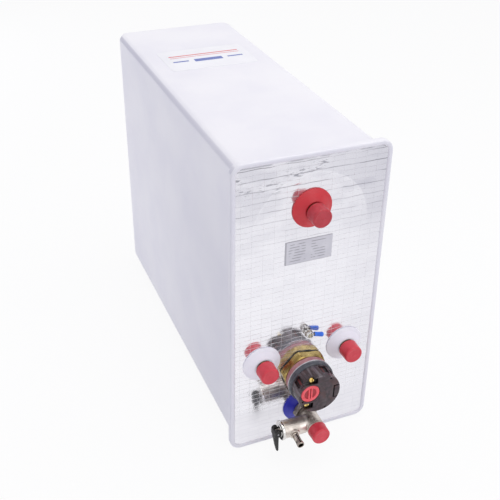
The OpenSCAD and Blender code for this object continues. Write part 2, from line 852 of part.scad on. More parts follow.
module thermostat_body() {
    color([0.16, 0.14, 0.15]) in_place() difference() {
        union() {
            rod_y(0, element_z, ring_y0, base_y0, stat_ring_d / 2);
            rod_y(0, element_z, stat_y0, ring_y0 + cut, stat_front_d / 2);
        }
        for (turn = window_turns) side_window(turn);
        face_groove();
        for (at = face_holes)
            rod_y(at[0], element_z + at[1], stat_y0 - cut, stat_y0 + groove_depth, face_hole_r);
        for (at = [terminal_a, terminal_b]) {
            terminal_pocket(at);
            rod_y(at[0], at[1], stat_y0, stat_y0 + pocket_depth + terminal_shank_len,
                  terminal_shank_r + joint_gap);
        }
        rod_y(dial_x, dial_z, stat_y0 - cut, dial_y0 + dial_t + dial_recess_gap,
              dial_r + dial_recess_gap);
        rod_y(dial_x, dial_z, stat_y0, dial_y0 + dial_t + spindle_len + seat_gap,
              spindle_r + running_gap);
        rod_y(0, element_z, ring_y0, base_y0 + cut, sensor_d / 2 + joint_gap);
    }
}

// Two brass screws at the bottom of the terminal pockets
module terminal_screws() {
    seat_y = stat_y0 + pocket_depth;
    color("gold") in_place() for (at = [terminal_a, terminal_b]) difference() {
        union() {
            rod_y(at[0], at[1], seat_y - terminal_head_t, seat_y, terminal_head_r);
            rod_y(at[0], at[1], seat_y - cut, seat_y + terminal_shank_len - seat_gap,
                  terminal_shank_r);
        }
        translate([at[0] - terminal_head_r - cut, seat_y - terminal_head_t - cut, at[1] - 0.4])
            cube([2 * (terminal_head_r + cut), 1.8, 0.8]);
    }
}

module dial_spindle() {
    color("gray") in_place()
        rod_y(dial_x, dial_z, dial_y0 + dial_t, dial_y0 + dial_t + spindle_len, spindle_r);
}

// Red dial with a raised rim and a slot for a screwdriver
module temperature_dial() {
    dish_depth = 1;
    rim = 2.6;
    bar_w = 3.4;
    slot_w = 1.2;
    color("red") in_place() difference() {
        union() {
            difference() {
                rod_y(dial_x, dial_z, dial_y0, dial_y0 + dial_t, dial_r);
                rod_y(dial_x, dial_z, dial_y0 - cut, dial_y0 + dish_depth, dial_r - rim);
            }
            translate([dial_x - bar_w / 2, dial_y0, dial_z - dial_r + rim / 2])
                cube([bar_w, dish_depth + cut, dial_d - rim]);
        }
        translate([dial_x - slot_w / 2, dial_y0 - cut, dial_z - dial_r + rim])
            cube([slot_w, 2 * dish_depth + cut, dial_d - 2 * rim]);
    }
}

// Safety valve

module valve_washer() {
    color("dimgray") in_place()
        tube_y(0, cold_z, socket_floor_y, cold_y0, port_r, port_bore_d / 2);
}

// Children stand in a frame at the barrel's axis, whose Y runs back along the drain spout
module along_spout() {
    translate([spout_x, barrel_y, cold_z]) rotate([spout_tilt, 0, 0]) children();
}

// Tee with a tank-side socket, an inlet thread and the relief barrel to the left
module valve_body() {
    socket_lip = 1;
    color("silver") in_place() difference() {
        union() {
            rod_y(0, cold_z, socket_floor_y - 3, socket_mouth_y, socket_r);
            hex_y(0, cold_z, socket_floor_y - 3, socket_mouth_y - socket_lip, 2 * socket_r, 0);
            rod_y(0, cold_z, run_shoulder_y, socket_floor_y, run_r);
            rod_y(0, cold_z, run_y0, run_shoulder_y + cut, port_r);
            rod_x(barrel_y, cold_z, -barrel_len, 0, barrel_r);
            along_spout() rod_y(0, 0, -spout_boss, 0, spout_boss_r);
        }
        rod_y(0, cold_z, socket_floor_y, socket_mouth_y + cut, socket_bore_r);
        rod_y(0, cold_z, check_seat_y, socket_floor_y + cut, run_bore_r);
        rod_y(0, cold_z, run_y0 - cut, check_seat_y + cut, check_seat_bore_r);
        rod_x(barrel_y, cold_z, -barrel_len - cut, relief_seat_x, cavity_r);
        rod_x(barrel_y, cold_z, relief_seat_x - cut, 0, relief_seat_bore_r);
        along_spout() rod_y(0, 0, -spout_boss - cut, 0, spout_root_r + joint_gap);
    }
}

// Pipe with a thinner root that is pressed into the barrel's boss
module drain_spout() {
    color("silver") in_place() along_spout() difference() {
        union() {
            rod_y(0, 0, -spout_reach, -spout_boss - joint_gap, spout_r);
            rod_y(0, 0, -spout_boss - cut, -spout_root, spout_root_r);
        }
        rod_y(0, 0, -spout_reach - cut, -spout_root + cut, spout_bore_d / 2);
    }
}

module relief_bonnet() {
    color("gainsboro") in_place() difference() {
        union() {
            rod_x(barrel_y, cold_z, bonnet_x, -barrel_len, bonnet_ring_r);
            rod_x(barrel_y, cold_z, -barrel_len - cut, -barrel_len + bonnet_plug_len,
                  cavity_r - joint_gap);
        }
        rod_x(barrel_y, cold_z, bonnet_x - cut, -barrel_len + bonnet_plug_len + cut,
              stem_r + running_gap);
    }
}

// Disc, rod and the flat tongue that carries the lever's pin
module relief_stem() {
    color("silver") in_place() difference() {
        union() {
            rod_x(barrel_y, cold_z, relief_disc_x0, relief_disc_x1, relief_disc_r);
            rod_x(barrel_y, cold_z, tongue_x1, relief_disc_x0 + cut, stem_r);
            rod_y(pin_x, cold_z, barrel_y - tongue_t / 2, barrel_y + tongue_t / 2, tongue_r);
            translate([pin_x, barrel_y - tongue_t / 2, cold_z - tongue_r])
                cube([tongue_x1 + cut - pin_x, tongue_t, 2 * tongue_r]);
        }
        rod_y(pin_x, cold_z, barrel_y - tongue_t, barrel_y + tongue_t, pin_r + joint_gap);
    }
}

module relief_seal() {
    color("black") in_place()
        rod_x(barrel_y, cold_z, relief_disc_x1, relief_disc_x1 + relief_seal_t, relief_seal_r);
}

module relief_spring() {
    x0 = -barrel_len + bonnet_plug_len + wire_r + seat_gap;
    x1 = relief_disc_x0 - wire_r - seat_gap;
    color("silver") in_place() translate([0, barrel_y, cold_z])
        coil_spring(x0, x1, relief_coil_r, wire_r, relief_turns);
}

module lever_pin() {
    color("silver") in_place()
        rod_y(pin_x, cold_z, barrel_y - lever_half_w, barrel_y + lever_half_w, pin_r);
}

// Side outline of the lever about its pin: the cam that lifts the stem, then the hanging handle
module lever_outline() {
    head_edge = 2;
    handle_top = 7.5;
    tip_x = 2;
    neck_x = 2.2;
    polygon(concat(
        [for (i = [0:6]) cam_point(lever_swing * i / 6)],
        [
            [-lever_back + head_edge, cam_top],
            [-lever_back, cam_top - head_edge],
            [-lever_back, -handle_top],
            [tip_x - lever_tip_t / 2, -lever_len + lever_tip_t / 2],
            [tip_x, -lever_len],
            [tip_x + lever_tip_t / 2, -lever_len + lever_tip_t / 2],
            [neck_x, -lever_cheek_drop],
            [cam_start, -lever_cheek_drop]
        ]
    ));
}

// Front outline of the lever: as wide as its cheeks at the top, narrow at the tip
module lever_front() {
    cheek_taper = 1.5;
    polygon([
        [-lever_half_w, cam_top + cut],
        [lever_half_w, cam_top + cut],
        [lever_half_w, -lever_cheek_drop],
        [lever_neck_half_w, -lever_cheek_drop - cheek_taper],
        [lever_tip_half_w, -lever_len - cut],
        [-lever_tip_half_w, -lever_len - cut],
        [-lever_neck_half_w, -lever_cheek_drop - cheek_taper],
        [-lever_half_w, -lever_cheek_drop]
    ]);
}

// Black lever with a fork over the stem's tongue
module relief_lever() {
    slot_reach = tongue_r + seat_gap;
    color([0.1, 0.1, 0.11]) in_place() translate([pin_x, barrel_y, cold_z]) difference() {
        intersection() {
            translate([0, lever_half_w, 0]) rotate([90, 0, 0])
                linear_extrude(2 * lever_half_w) lever_outline();
            translate([-lever_back - cut, 0, 0]) rotate([90, 0, 90])
                linear_extrude(lever_back + lever_len) lever_front();
        }
        translate([-slot_reach, -lever_gap, -slot_reach])
            cube([slot_reach + cam_top + cut, 2 * lever_gap, slot_reach + cam_top + cut]);
        rod_y(0, 0, -lever_half_w - cut, lever_half_w + cut, pin_r + running_gap);
    }
}

// Check valve in the inlet

module check_guide() {
    hole_r = poppet_stem_r + running_gap;
    spoke_len = run_bore_r - joint_gap - guide_ring_w / 2;
    color("whitesmoke") in_place() difference() {
        union() {
            tube_y(0, cold_z, guide_y0, guide_y0 + guide_t, run_bore_r - joint_gap,
                   run_bore_r - joint_gap - guide_ring_w);
            rod_y(0, cold_z, guide_y0, guide_y0 + guide_t, guide_hub_r);
            for (turn = [60:120:300]) translate([0, guide_y0 + guide_spoke_in, cold_z]) rotate([0, turn, 0])
                translate([0, 0, -guide_spoke_w / 2])
                cube([spoke_len, guide_t - 2 * guide_spoke_in, guide_spoke_w]);
        }
        rod_y(0, cold_z, guide_y0 - cut, guide_y0 + guide_t + cut, hole_r);
    }
}

module check_poppet() {
    color("whitesmoke") in_place() {
        rod_y(0, cold_z, poppet_y0, poppet_y0 + poppet_t, poppet_r);
        rod_y(0, cold_z, poppet_y0 + poppet_t - cut, poppet_stem_y1, poppet_stem_r);
    }
}

module check_spring() {
    y0 = poppet_y0 + poppet_t + check_wire_r + seat_gap;
    y1 = guide_y0 - check_wire_r - seat_gap;
    color("silver") in_place() translate([0, 0, cold_z]) rotate([0, 0, 90])
        coil_spring(y0, y1, check_coil_r, check_wire_r, check_turns);
}

module valve_cap() {
    color("red") in_place() protective_cap(0, cold_z, run_y0, valve_cap_len);
}

// Earth terminal

module earth_stud() {
    color("goldenrod") in_place() rod_y(earth_x, earth_z, earth_y0, tank_y0, earth_r);
}

// Washer, nut and washer behind the ring terminal, and a nut in front of it
module earth_nuts() {
    hole_r = earth_r + joint_gap;
    color("gainsboro") in_place() {
        for (y0 = [foil_y - earth_washer_t, earth_ring_y1])
            tube_y(earth_x, earth_z, y0, y0 + earth_washer_t - joint_gap, earth_washer_r, hole_r);
        for (y1 = [foil_y - earth_washer_t - joint_gap, earth_ring_y1 - earth_ring_t])
            difference() {
                hex_y(earth_x, earth_z, y1 - earth_nut_t + joint_gap, y1, earth_nut_flats, 10);
                rod_y(earth_x, earth_z, y1 - earth_nut_t - cut, y1 + cut, hole_r);
            }
    }
}

// Children stand in a frame whose X runs from the stud along the drooping terminal
module along_terminal() {
    translate([earth_x, earth_ring_y1 - earth_ring_t / 2, earth_z]) rotate([0, earth_droop, 0])
        children();
}

module earth_ring_terminal() {
    gap = joint_gap;
    tongue_w = 4;
    color("silver") in_place() along_terminal() difference() {
        union() {
            rod_y(0, 0, -earth_ring_t / 2 + gap, earth_ring_t / 2 - gap, earth_ring_r);
            translate([0, -earth_ring_t / 2 + gap, -tongue_w / 2])
                cube([sleeve_start + cut, earth_ring_t - 2 * gap, tongue_w]);
            rod_x(0, 0, sleeve_start - cut, sleeve_start + sleeve_len - cut, crimp_r);
        }
        rod_y(0, 0, -earth_ring_t, earth_ring_t, earth_r + gap);
    }
}

module earth_sleeve() {
    color("dodgerblue") in_place() along_terminal() difference() {
        rod_x(0, 0, sleeve_start, sleeve_start + sleeve_len, sleeve_r);
        rod_x(0, 0, sleeve_start - cut, sleeve_start + sleeve_len + cut, crimp_r + joint_gap);
    }
}

// Labels

module rating_plate() {
    color("silver") in_place() translate([-rating_left, foil_y, hot_z - rating_drop])
        rotate([90, 0, 0]) linear_extrude(label_t) square([rating_w, rating_h], center = true);
}

module top_label() {
    label_r = 5;
    color("white") in_place()
        translate([0, casing_depth - top_label_inset, mid_z + casing_h / 2])
        linear_extrude(label_t) rounded_rect(top_label_w, top_label_depth, label_r);
}

outer_casing();
front_panel();
foam_insulation();
tank_shell();
tank_front_end();
tank_rear_end();
hot_outlet_stub();
hot_pickup_elbow();
hot_collar();
hot_cap();
left_coil_stub();
left_coil_collar();
left_coil_cap();
right_coil_stub();
right_coil_collar();
right_coil_cap();
heat_exchanger_coil();
cold_inlet_stub();
cold_collar();
cold_diffuser();
element_boss();
element_gasket();
element_head();
element_loop();
sensor_pocket();
thermostat_sensor();
thermostat_seal();
thermostat_base();
thermostat_body();
terminal_screws();
dial_spindle();
temperature_dial();
valve_washer();
valve_body();
drain_spout();
relief_bonnet();
relief_stem();
relief_seal();
relief_spring();
lever_pin();
relief_lever();
check_guide();
check_poppet();
check_spring();
valve_cap();
earth_stud();
earth_nuts();
earth_ring_terminal();
earth_sleeve();
rating_plate();
top_label();
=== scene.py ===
"""Looks of a caravan water heater: finishes, dressed pieces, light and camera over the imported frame."""

import json
import logging
import math
from dataclasses import dataclass
from enum import Enum
from typing import Callable, Optional, Sequence, Union

import bmesh
import bpy
from mathutils import Matrix, Vector, noise


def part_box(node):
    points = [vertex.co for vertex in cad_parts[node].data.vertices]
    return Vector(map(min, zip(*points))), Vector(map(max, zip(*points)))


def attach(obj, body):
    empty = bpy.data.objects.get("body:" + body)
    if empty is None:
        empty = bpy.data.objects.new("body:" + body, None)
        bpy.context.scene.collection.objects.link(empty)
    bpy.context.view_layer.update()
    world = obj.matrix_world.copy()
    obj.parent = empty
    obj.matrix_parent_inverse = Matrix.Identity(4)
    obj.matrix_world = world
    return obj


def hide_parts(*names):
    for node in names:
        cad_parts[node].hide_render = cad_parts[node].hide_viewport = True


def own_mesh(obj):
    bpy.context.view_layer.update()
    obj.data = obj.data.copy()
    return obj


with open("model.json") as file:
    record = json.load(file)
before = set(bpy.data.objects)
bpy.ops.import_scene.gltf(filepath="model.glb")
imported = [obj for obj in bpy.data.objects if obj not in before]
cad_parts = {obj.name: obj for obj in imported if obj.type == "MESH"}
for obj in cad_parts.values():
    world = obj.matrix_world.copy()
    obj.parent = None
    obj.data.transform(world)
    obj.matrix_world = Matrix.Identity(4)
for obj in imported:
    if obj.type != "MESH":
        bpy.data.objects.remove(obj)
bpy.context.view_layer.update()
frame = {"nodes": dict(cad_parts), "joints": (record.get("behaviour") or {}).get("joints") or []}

LOG = logging.getLogger("water_heater")
MM = 0.001
TURN = 2 * math.pi
# Y of the flange's front plane, from which the pieces' sizes are counted, in millimetres
FLANGE_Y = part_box("outer_casing")[0][1] / MM
# Places on the heater in millimetres: X across, Z up, Y back from the flange's front plane
HOT_Z = 333.0
COIL_X = 55.25
COIL_Z = 130.0
COLD_Z = 45.5
ELEMENT_Z = 104.5
EARTH_X = 2.5
EARTH_Z = 163.5
PLATE_Z = 279.0
STICKER_Y = 338.0
# How far the foil's face lies behind the flange's front plane
FOIL_DEPTH = 1.4
# Round imprint of the tank's end in the foil
IMPRINT_R = 70.5
IMPRINT_Z = 305.0
# Half-inch pipe thread
PIPE_R = 10.48
PIPE_PITCH = 1.814
# How far the hexagon, the thermostat's rear ring and its face stand in front of the flange
HEX_FRONT = 10.5
RING_FRONT = 26.2
STAT_FRONT = 47.7

Flat = tuple[float, float]
Place = tuple[float, float, float]
Outline = tuple[Flat, ...]
Colour = tuple[float, float, float, float]
Reach = Callable[[float, float, float], float]

WHITE: Colour = (1.0, 1.0, 1.0, 1.0)


def screen(red: float, green: float, blue: float) -> Colour:
    """Linear colour of an 8-bit screen colour.

    Args:
        red: Red from 0 to 255.
        green: Green from 0 to 255.
        blue: Blue from 0 to 255.

    Returns:
        The colour as a shader socket takes it.
    """
    parts = [channel / 255 for channel in (red, green, blue)]
    linear = [p / 12.92 if p <= 0.04045 else ((p + 0.055) / 1.055) ** 2.4 for p in parts]
    return (linear[0], linear[1], linear[2], 1.0)


class Body(Enum):
    """Bodies of the frame that pieces ride on."""

    ROOT = "root"
    DIAL = "dial"
    STEM = "stem"
    LEVER = "lever"
    HOT_CAP = "cap_hot"
    LEFT_CAP = "cap_left"
    RIGHT_CAP = "cap_right"
    VALVE_CAP = "cap_valve"


class Value:
    """A shader socket that takes part in Python arithmetic."""

    def __init__(self, graph: "Graph", socket: bpy.types.NodeSocket) -> None:
        """Keeps the socket and the graph that it belongs to."""
        self.graph = graph
        self.socket = socket

    def _math(self, operation: str, *inputs: "Operand") -> "Value":
        """Adds a Math node on these inputs."""
        return self.graph.node("ShaderNodeMath", {"operation": operation}, dict(enumerate(inputs)))

    def __add__(self, other: "Operand") -> "Value":
        """Sum."""
        return self._math("ADD", self, other)

    def __sub__(self, other: "Operand") -> "Value":
        """Difference."""
        return self._math("SUBTRACT", self, other)

    def __rsub__(self, other: "Operand") -> "Value":
        """Difference from a number."""
        return self._math("SUBTRACT", other, self)

    def __mul__(self, other: "Operand") -> "Value":
        """Product."""
        return self._math("MULTIPLY", self, other)

    def __truediv__(self, other: "Operand") -> "Value":
        """Quotient."""
        return self._math("DIVIDE", self, other)

    def __rtruediv__(self, other: "Operand") -> "Value":
        """Quotient of a number."""
        return self._math("DIVIDE", other, self)

    def __mod__(self, other: "Operand") -> "Value":
        """Remainder, never negative."""
        return self._math("FLOORED_MODULO", self, other)

    def __pow__(self, other: "Operand") -> "Value":
        """Power."""
        return self._math("POWER", self, other)

    def __abs__(self) -> "Value":
        """Size without its sign."""
        return self._math("ABSOLUTE", self)

    __radd__ = __add__
    __rmul__ = __mul__

    def most(self, other: "Operand") -> "Value":
        """Larger of the two."""
        return self._math("MAXIMUM", self, other)

    def rise(self, low: float, high: float) -> "Value":
        """Smooth step from 0 at low to 1 at high."""
        sockets = {"Value": self, "From Min": low, "From Max": high}
        return self.graph.node("ShaderNodeMapRange", {"interpolation_type": "SMOOTHSTEP"}, sockets)

    def line(self, pitch: float, first: float, width: float) -> "Value":
        """1 on lines that repeat at a pitch, falling to 0 at half their width."""
        away = abs((self - first + pitch / 2) % pitch - pitch / 2)
        return 1 - away.rise(0.0, width / 2)

    def within(self, low: float, high: float, soft: float) -> "Value":
        """1 between two limits, with soft ends."""
        return self.rise(low - soft, low + soft) * (1 - self.rise(high - soft, high + soft))


Operand = Union[Value, float, Colour, Vector]
Sockets = dict[Union[str, int], Operand]


class Graph:
    """A node tree that is filled from Python expressions."""

    def __init__(self, tree: bpy.types.NodeTree) -> None:
        """Empties the tree."""
        self.tree = tree
        tree.nodes.clear()

    def node(
        self,
        kind: str,
        settings: Optional[dict[str, object]] = None,
        sockets: Optional[Sockets] = None,
        output: Union[str, int] = 0,
    ) -> Value:
        """Adds one node.

        Args:
            kind: The node's type.
            settings: Its own settings, set before the sockets.
            sockets: Values or links of its inputs, by name or number.
            output: The output to return, by name or number.

        Returns:
            That output, or the first input of a node that ends the tree.
        """
        made = self.tree.nodes.new(kind)
        for key, value in (settings or {}).items():
            setattr(made, key, value)
        for key, value in (sockets or {}).items():
            if isinstance(value, Value):
                self.tree.links.new(value.socket, made.inputs[key])
            else:
                made.inputs[key].default_value = value
        return Value(self, made.outputs[output] if made.outputs else made.inputs[0])

    def place(self, stretch: Sequence[float] = (1, 1, 1)) -> Value:
        """Place on the piece in millimetres.

        Args:
            stretch: Factor along each axis.

        Returns:
            The place as a vector.
        """
        where = self.node("ShaderNodeTexCoord", output="Object")
        factor = Vector(stretch) / MM
        return self.node("ShaderNodeVectorMath", {"operation": "MULTIPLY"}, {0: where, 1: factor})

    def axes(self) -> tuple[Value, Value, Value]:
        """Place on the piece in millimetres, axis by axis.

        Returns:
            X, Y and Z, with Y counted from the flange's front plane.
        """
        parts = self.node("ShaderNodeSeparateXYZ", sockets={0: self.place()})
        outputs = parts.socket.node.outputs
        return parts, Value(self, outputs[1]) - FLANGE_Y, Value(self, outputs[2])

    def noise(self, size: float, detail: float = 3.0, stretch: Sequence[float] = (1, 1, 1)) -> Value:
        """Noise from 0 to 1 with patches of a size in millimetres."""
        sockets = {"Vector": self.place(stretch), "Scale": 1 / size, "Detail": detail}
        return self.node("ShaderNodeTexNoise", sockets=sockets)

    def mix(self, factor: Operand, first: Operand, second: Operand) -> Value:
        """Colour between two others."""
        return self.node("ShaderNodeMix", {"data_type": "RGBA"}, {0: factor, 6: first, 7: second}, 2)

    def bump(self, height: Value, depth: float, under: Optional[Value] = None) -> Value:
        """Normal of an uneven surface.

        Args:
            height: The surface's height, in shares of the depth.
            depth: How far it rises in millimetres where height is 1.
            under: Normal of a larger unevenness that it lies on.

        Returns:
            The normal.
        """
        sockets: Sockets = {"Height": height, "Distance": depth * MM}
        if under is not None:
            sockets["Normal"] = under
        return self.node("ShaderNodeBump", sockets=sockets)


@dataclass(frozen=True)
class Finish:
    """A surface: the record's slot that it belongs to, its colours and its grain."""

    slot: str
    colour: Colour
    shade: Colour
    roughness: float
    metallic: float = 0.0
    patch: float = 18.0
    grain: float = 0.7
    depth: float = 0.03
    wear: float = 0.12
    stretch: Place = (1.0, 1.0, 1.0)
    milky: float = 0.0
    milk_depth: float = 4.0
    # Strength of an emission of the finish's own colour: painted light where it is above 0
    glow: float = 0.0

    def material(self) -> bpy.types.Material:
        """Makes the finish's material, once.

        Returns:
            The material.
        """
        name = "finish_" + self.label()
        made = bpy.data.materials.get(name)
        if made is None:
            made = bpy.data.materials.new(name)
            made.use_nodes = True
            graph = Graph(made.node_tree)
            shader = graph.node("ShaderNodeBsdfPrincipled", sockets=self.fixed() | self.sockets(graph))
            graph.node("ShaderNodeOutputMaterial", sockets={"Surface": shader})
        return made

    def label(self) -> str:
        """Name of the material, which two finishes of one slot don't share."""
        return self.slot

    def fixed(self) -> Sockets:
        """Sockets that are the same all over the surface.

        Returns:
            Values by socket name.
        """
        return {
            "Metallic": self.metallic,
            "Subsurface Weight": self.milky,
            "Subsurface Radius": Vector((1.0, 1.0, 1.0)),
            "Subsurface Scale": self.milk_depth * MM,
            "Emission Color": self.colour,
            "Emission Strength": self.glow,
        }

    def sockets(self, graph: Graph) -> Sockets:
        """Sockets that vary over the surface.

        Args:
            graph: The material's graph.

        Returns:
            Values by socket name.
        """
        patches = graph.noise(self.patch, 4)
        fine = graph.noise(self.grain, 3, self.stretch)
        return {
            "Base Color": graph.mix(patches.rise(0.3, 0.7), self.colour, self.shade),
            "Roughness": self.roughness + (patches - 0.5) * self.wear + (fine - 0.5) * self.wear,
            "Normal": graph.bump(fine, self.depth),
        }


@dataclass(frozen=True)
class Moulded(Finish):
    """Glossy moulded sheet with a soft orange-peel skin and faint scuffs."""

    peel: float = 5.0
    peel_depth: float = 0.02
    # Colour of the painted shade on the rounded long edges and at the sides' lower front
    edge: Colour = (0.42, 0.42, 0.53, 1.0)
    # Sideways and upward parts of the normal in the middle of a long edge's rounding
    edge_facing: Flat = (0.84, 0.54)
    # Depths over which the painted edge shade deepens towards the rear, then heights and depths where the
    # painted shade at the sides' foot fades out
    edge_run: Flat = (60.0, 460.0)
    foot_up: Flat = (200.0, 380.0)
    foot_back: Flat = (40.0, 360.0)

    def sockets(self, graph: Graph) -> Sockets:
        """Soft skin, long scuffs, and painted shade: a darker line on the rounded edges and a greyer foot at
        the front.

        Args:
            graph: The material's graph.

        Returns:
            Values by socket name.
        """
        plain = super().sockets(graph)
        normal = graph.node("ShaderNodeTexCoord", output="Normal")
        facing = graph.node("ShaderNodeSeparateXYZ", sockets={0: normal})
        upward = Value(graph, facing.socket.node.outputs[2])
        _, back, up = graph.axes()
        sideways_part, upward_part = self.edge_facing
        # Painted shade: the rounded long edges darken by the way their normal faces, more towards the rear,
        # and the sides turn greyer low at the front
        rounding = (abs(facing) * sideways_part + upward * upward_part).rise(0.91, 0.99)
        rounding = rounding * (0.4 + 0.22 * back.rise(*self.edge_run))
        sway = (graph.noise(150.0, 2, (1.0, 0.8, 0.6)) - 0.5) * 120.0
        foot = abs(facing).rise(0.8, 0.98) * (1 - (up + sway).rise(*self.foot_up))
        foot = foot * (1 - (back + sway).rise(*self.foot_back))
        shaded = rounding.most(foot * 0.24)
        plain["Base Color"] = graph.mix(shaded, plain["Base Color"], self.edge)
        skin = graph.bump(graph.noise(self.peel, 2), self.peel_depth)
        scuffs = graph.noise(9.0, 5, (1.0, 0.12, 0.5)).rise(0.62, 0.75)
        plain["Roughness"] = plain["Roughness"] + scuffs * 0.12
        plain["Normal"] = graph.bump(graph.noise(self.grain, 3), self.depth, skin)
        return plain


@dataclass(frozen=True)
class Foil(Finish):
    """Bright foil over a scrim of threads, crumpled near the top, with painted shade in its creases and
    painted reflection that darkens it round the tank's imprint.
    """

    row: float = 6.7
    column: float = 13.35
    first_row: float = 377.5
    first_column: float = -83.7
    # Colour of the painted shade in the creases over the scrim's threads, at the dents and under the rim
    thread: Colour = (0.16, 0.16, 0.2, 1.0)
    lean: float = 0.022
    swell: float = 0.012
    row_w: float = 1.7
    ridge_w: float = 1.1
    column_w: float = 1.0
    # How far over the imprint's middle the darker foil outside it, a painted reflection, comes in
    outside_fade: Flat = (-20.0, 30.0)
    # Places across the panel between which the foil outside the imprint, and all of it, turns darker: painted
    # reflection
    outside_across: Flat = (-60.0, 90.0)
    reflection_dark_across: Flat = (0.0, 100.0)
    # Heights between which the foil turns from smooth to crumpled, and from matt to bright at its foot
    crumpled: Flat = (230.0, 390.0)
    foot: Flat = (38.0, 74.0)
    top_z: float = 394.0
    dents: tuple[Place, ...] = (
        (2.0, 382.0, 9.0), (-20.0, 379.0, 11.0), (13.0, 388.0, 8.0), (-50.0, 365.5, 12.0),
        (-82.0, 365.5, 9.0), (-88.0, 380.0, 7.0),
    )

    def cells(self, graph: Graph, across: Value, up: Value) -> tuple[Value, Value]:
        """Cells between the threads.

        Args:
            graph: The material's graph.
            across: Place across the panel.
            up: Place up the panel.

        Returns:
            Height of the surface in millimetres and a chance from 0 to 1 for each cell.
        """
        along = (across - self.first_column) / self.column
        above = (up - self.first_row) / self.row
        corner = graph.node("ShaderNodeCombineXYZ", sockets={0: along - along % 1, 1: above - above % 1})
        flat = {"noise_dimensions": "2D"}
        chance = graph.node("ShaderNodeTexWhiteNoise", flat, {"Vector": corner}, "Color")
        parts = graph.node("ShaderNodeSeparateColor", sockets={0: chance})
        sideways, upwards, tone = (Value(graph, output) for output in parts.socket.node.outputs)
        height = (along % 1) * (sideways - 0.5) * (2 * self.lean * self.column)
        height = height + (above % 1) * (upwards - 0.5) * (2 * self.lean * self.row)
        return height - (above % 1 - 0.5) ** 2 * (self.swell * self.row), tone

    def dented(self, graph: Graph, across: Value, up: Value) -> Value:
        """Dark crumpled marks near the dents, painted shade in their creases.

        Args:
            graph: The material's graph.
            across: Place across the panel.
            up: Place up the panel.

        Returns:
            Strength of the marks from 0 to 1.
        """
        marks = graph.noise(3.4, 5, (0.45, 1.0, 1.5)).rise(0.52, 0.64)
        near: Optional[Value] = None
        for x, z, size in self.dents:
            away = (((across - x) * 0.6) ** 2 + (up - z) ** 2) ** 0.5
            spot = 1 - away.rise(0.1 * size, size)
            near = spot if near is None else near.most(spot)
        return marks * near

    def sockets(self, graph: Graph) -> Sockets:
        """Painted shade in the creases over the threads, at the dents and under the rim, leaning cells, and
        painted reflection that darkens the foil round the tank's round imprint.

        Args:
            graph: The material's graph.

        Returns:
            Values by socket name.
        """
        across, _, up = graph.axes()
        wander = graph.noise(18.0, 3)
        broken = graph.noise(10.0, 4, (0.35, 1.0, 1.5))
        upper = up.rise(*self.crumpled)
        bent = up + (wander - 0.5) * 3.2
        height, tone = self.cells(graph, across, bent)
        # Painted reflection, with some random tone: the foil turns darker towards the top, towards the right
        # and outside the imprint, in patches and cell by cell, and lighter along the imprint's bead, a
        # painted highlight
        round_off = (across ** 2 + (up - IMPRINT_Z) ** 2) ** 0.5 + (wander - 0.5) * 4
        bead = round_off.within(IMPRINT_R - 0.8, IMPRINT_R + 0.8, 0.5)
        bead = bead * up.rise(IMPRINT_Z, IMPRINT_Z + 40.0) * broken * 0.14
        outside = round_off.rise(IMPRINT_R - 1.5, IMPRINT_R + 1.5)
        outside = outside * up.rise(*(IMPRINT_Z + fade for fade in self.outside_fade))
        outside = outside * (0.05 + 0.13 * across.rise(*self.outside_across))
        patches = graph.noise(34.0, 3, (0.6, 1.0, 1.4)).rise(0.44, 0.6)
        patches = patches * (0.05 + 0.1 * upper)
        tone_and_reflection_dark = 0.03 + tone * 0.04 + upper * 0.16 + across.rise(*self.reflection_dark_across) * 0.1
        tone_and_reflection_dark = tone_and_reflection_dark + patches + outside - bead
        # Painted shade: dark lines in the creases over the threads, dark marks at the dents and a dark broken
        # line under the rim along the top edge
        rows = bent.line(2 * self.row, self.first_row, self.row_w) * broken.rise(0.34, 0.6)
        rows = rows * (0.05 + 0.7 * upper ** 2)
        columns = across.line(self.column, self.first_column, self.column_w)
        ridges = bent.line(self.row, self.first_row, self.ridge_w).most(columns * 0.6)
        brim = up.rise(self.top_z - 2.5, self.top_z - 0.5) * broken.rise(0.42, 0.58) * 0.5
        dark = rows.most(self.dented(graph, across, up) * 0.7)
        dark = dark.most(ridges * broken * (0.03 + 0.04 * upper)).most(brim)
        crumple = graph.noise(6.0, 4, (0.6, 1.0, 1.3))
        low = 1 - up.rise(*self.foot)
        sagging = graph.bump(graph.noise(38.0, 2), 0.25)
        leaning = graph.bump(height, 1.0, sagging)
        return {
            "Base Color": graph.mix(dark, graph.mix(tone_and_reflection_dark, self.colour, self.shade), self.thread),
            "Roughness": self.roughness + crumple * 0.05 + ridges * 0.35 + low * 0.3,
            "Normal": graph.bump(crumple * (0.1 + 0.6 * upper) - dark * 0.5, 0.1, leaning),
        }


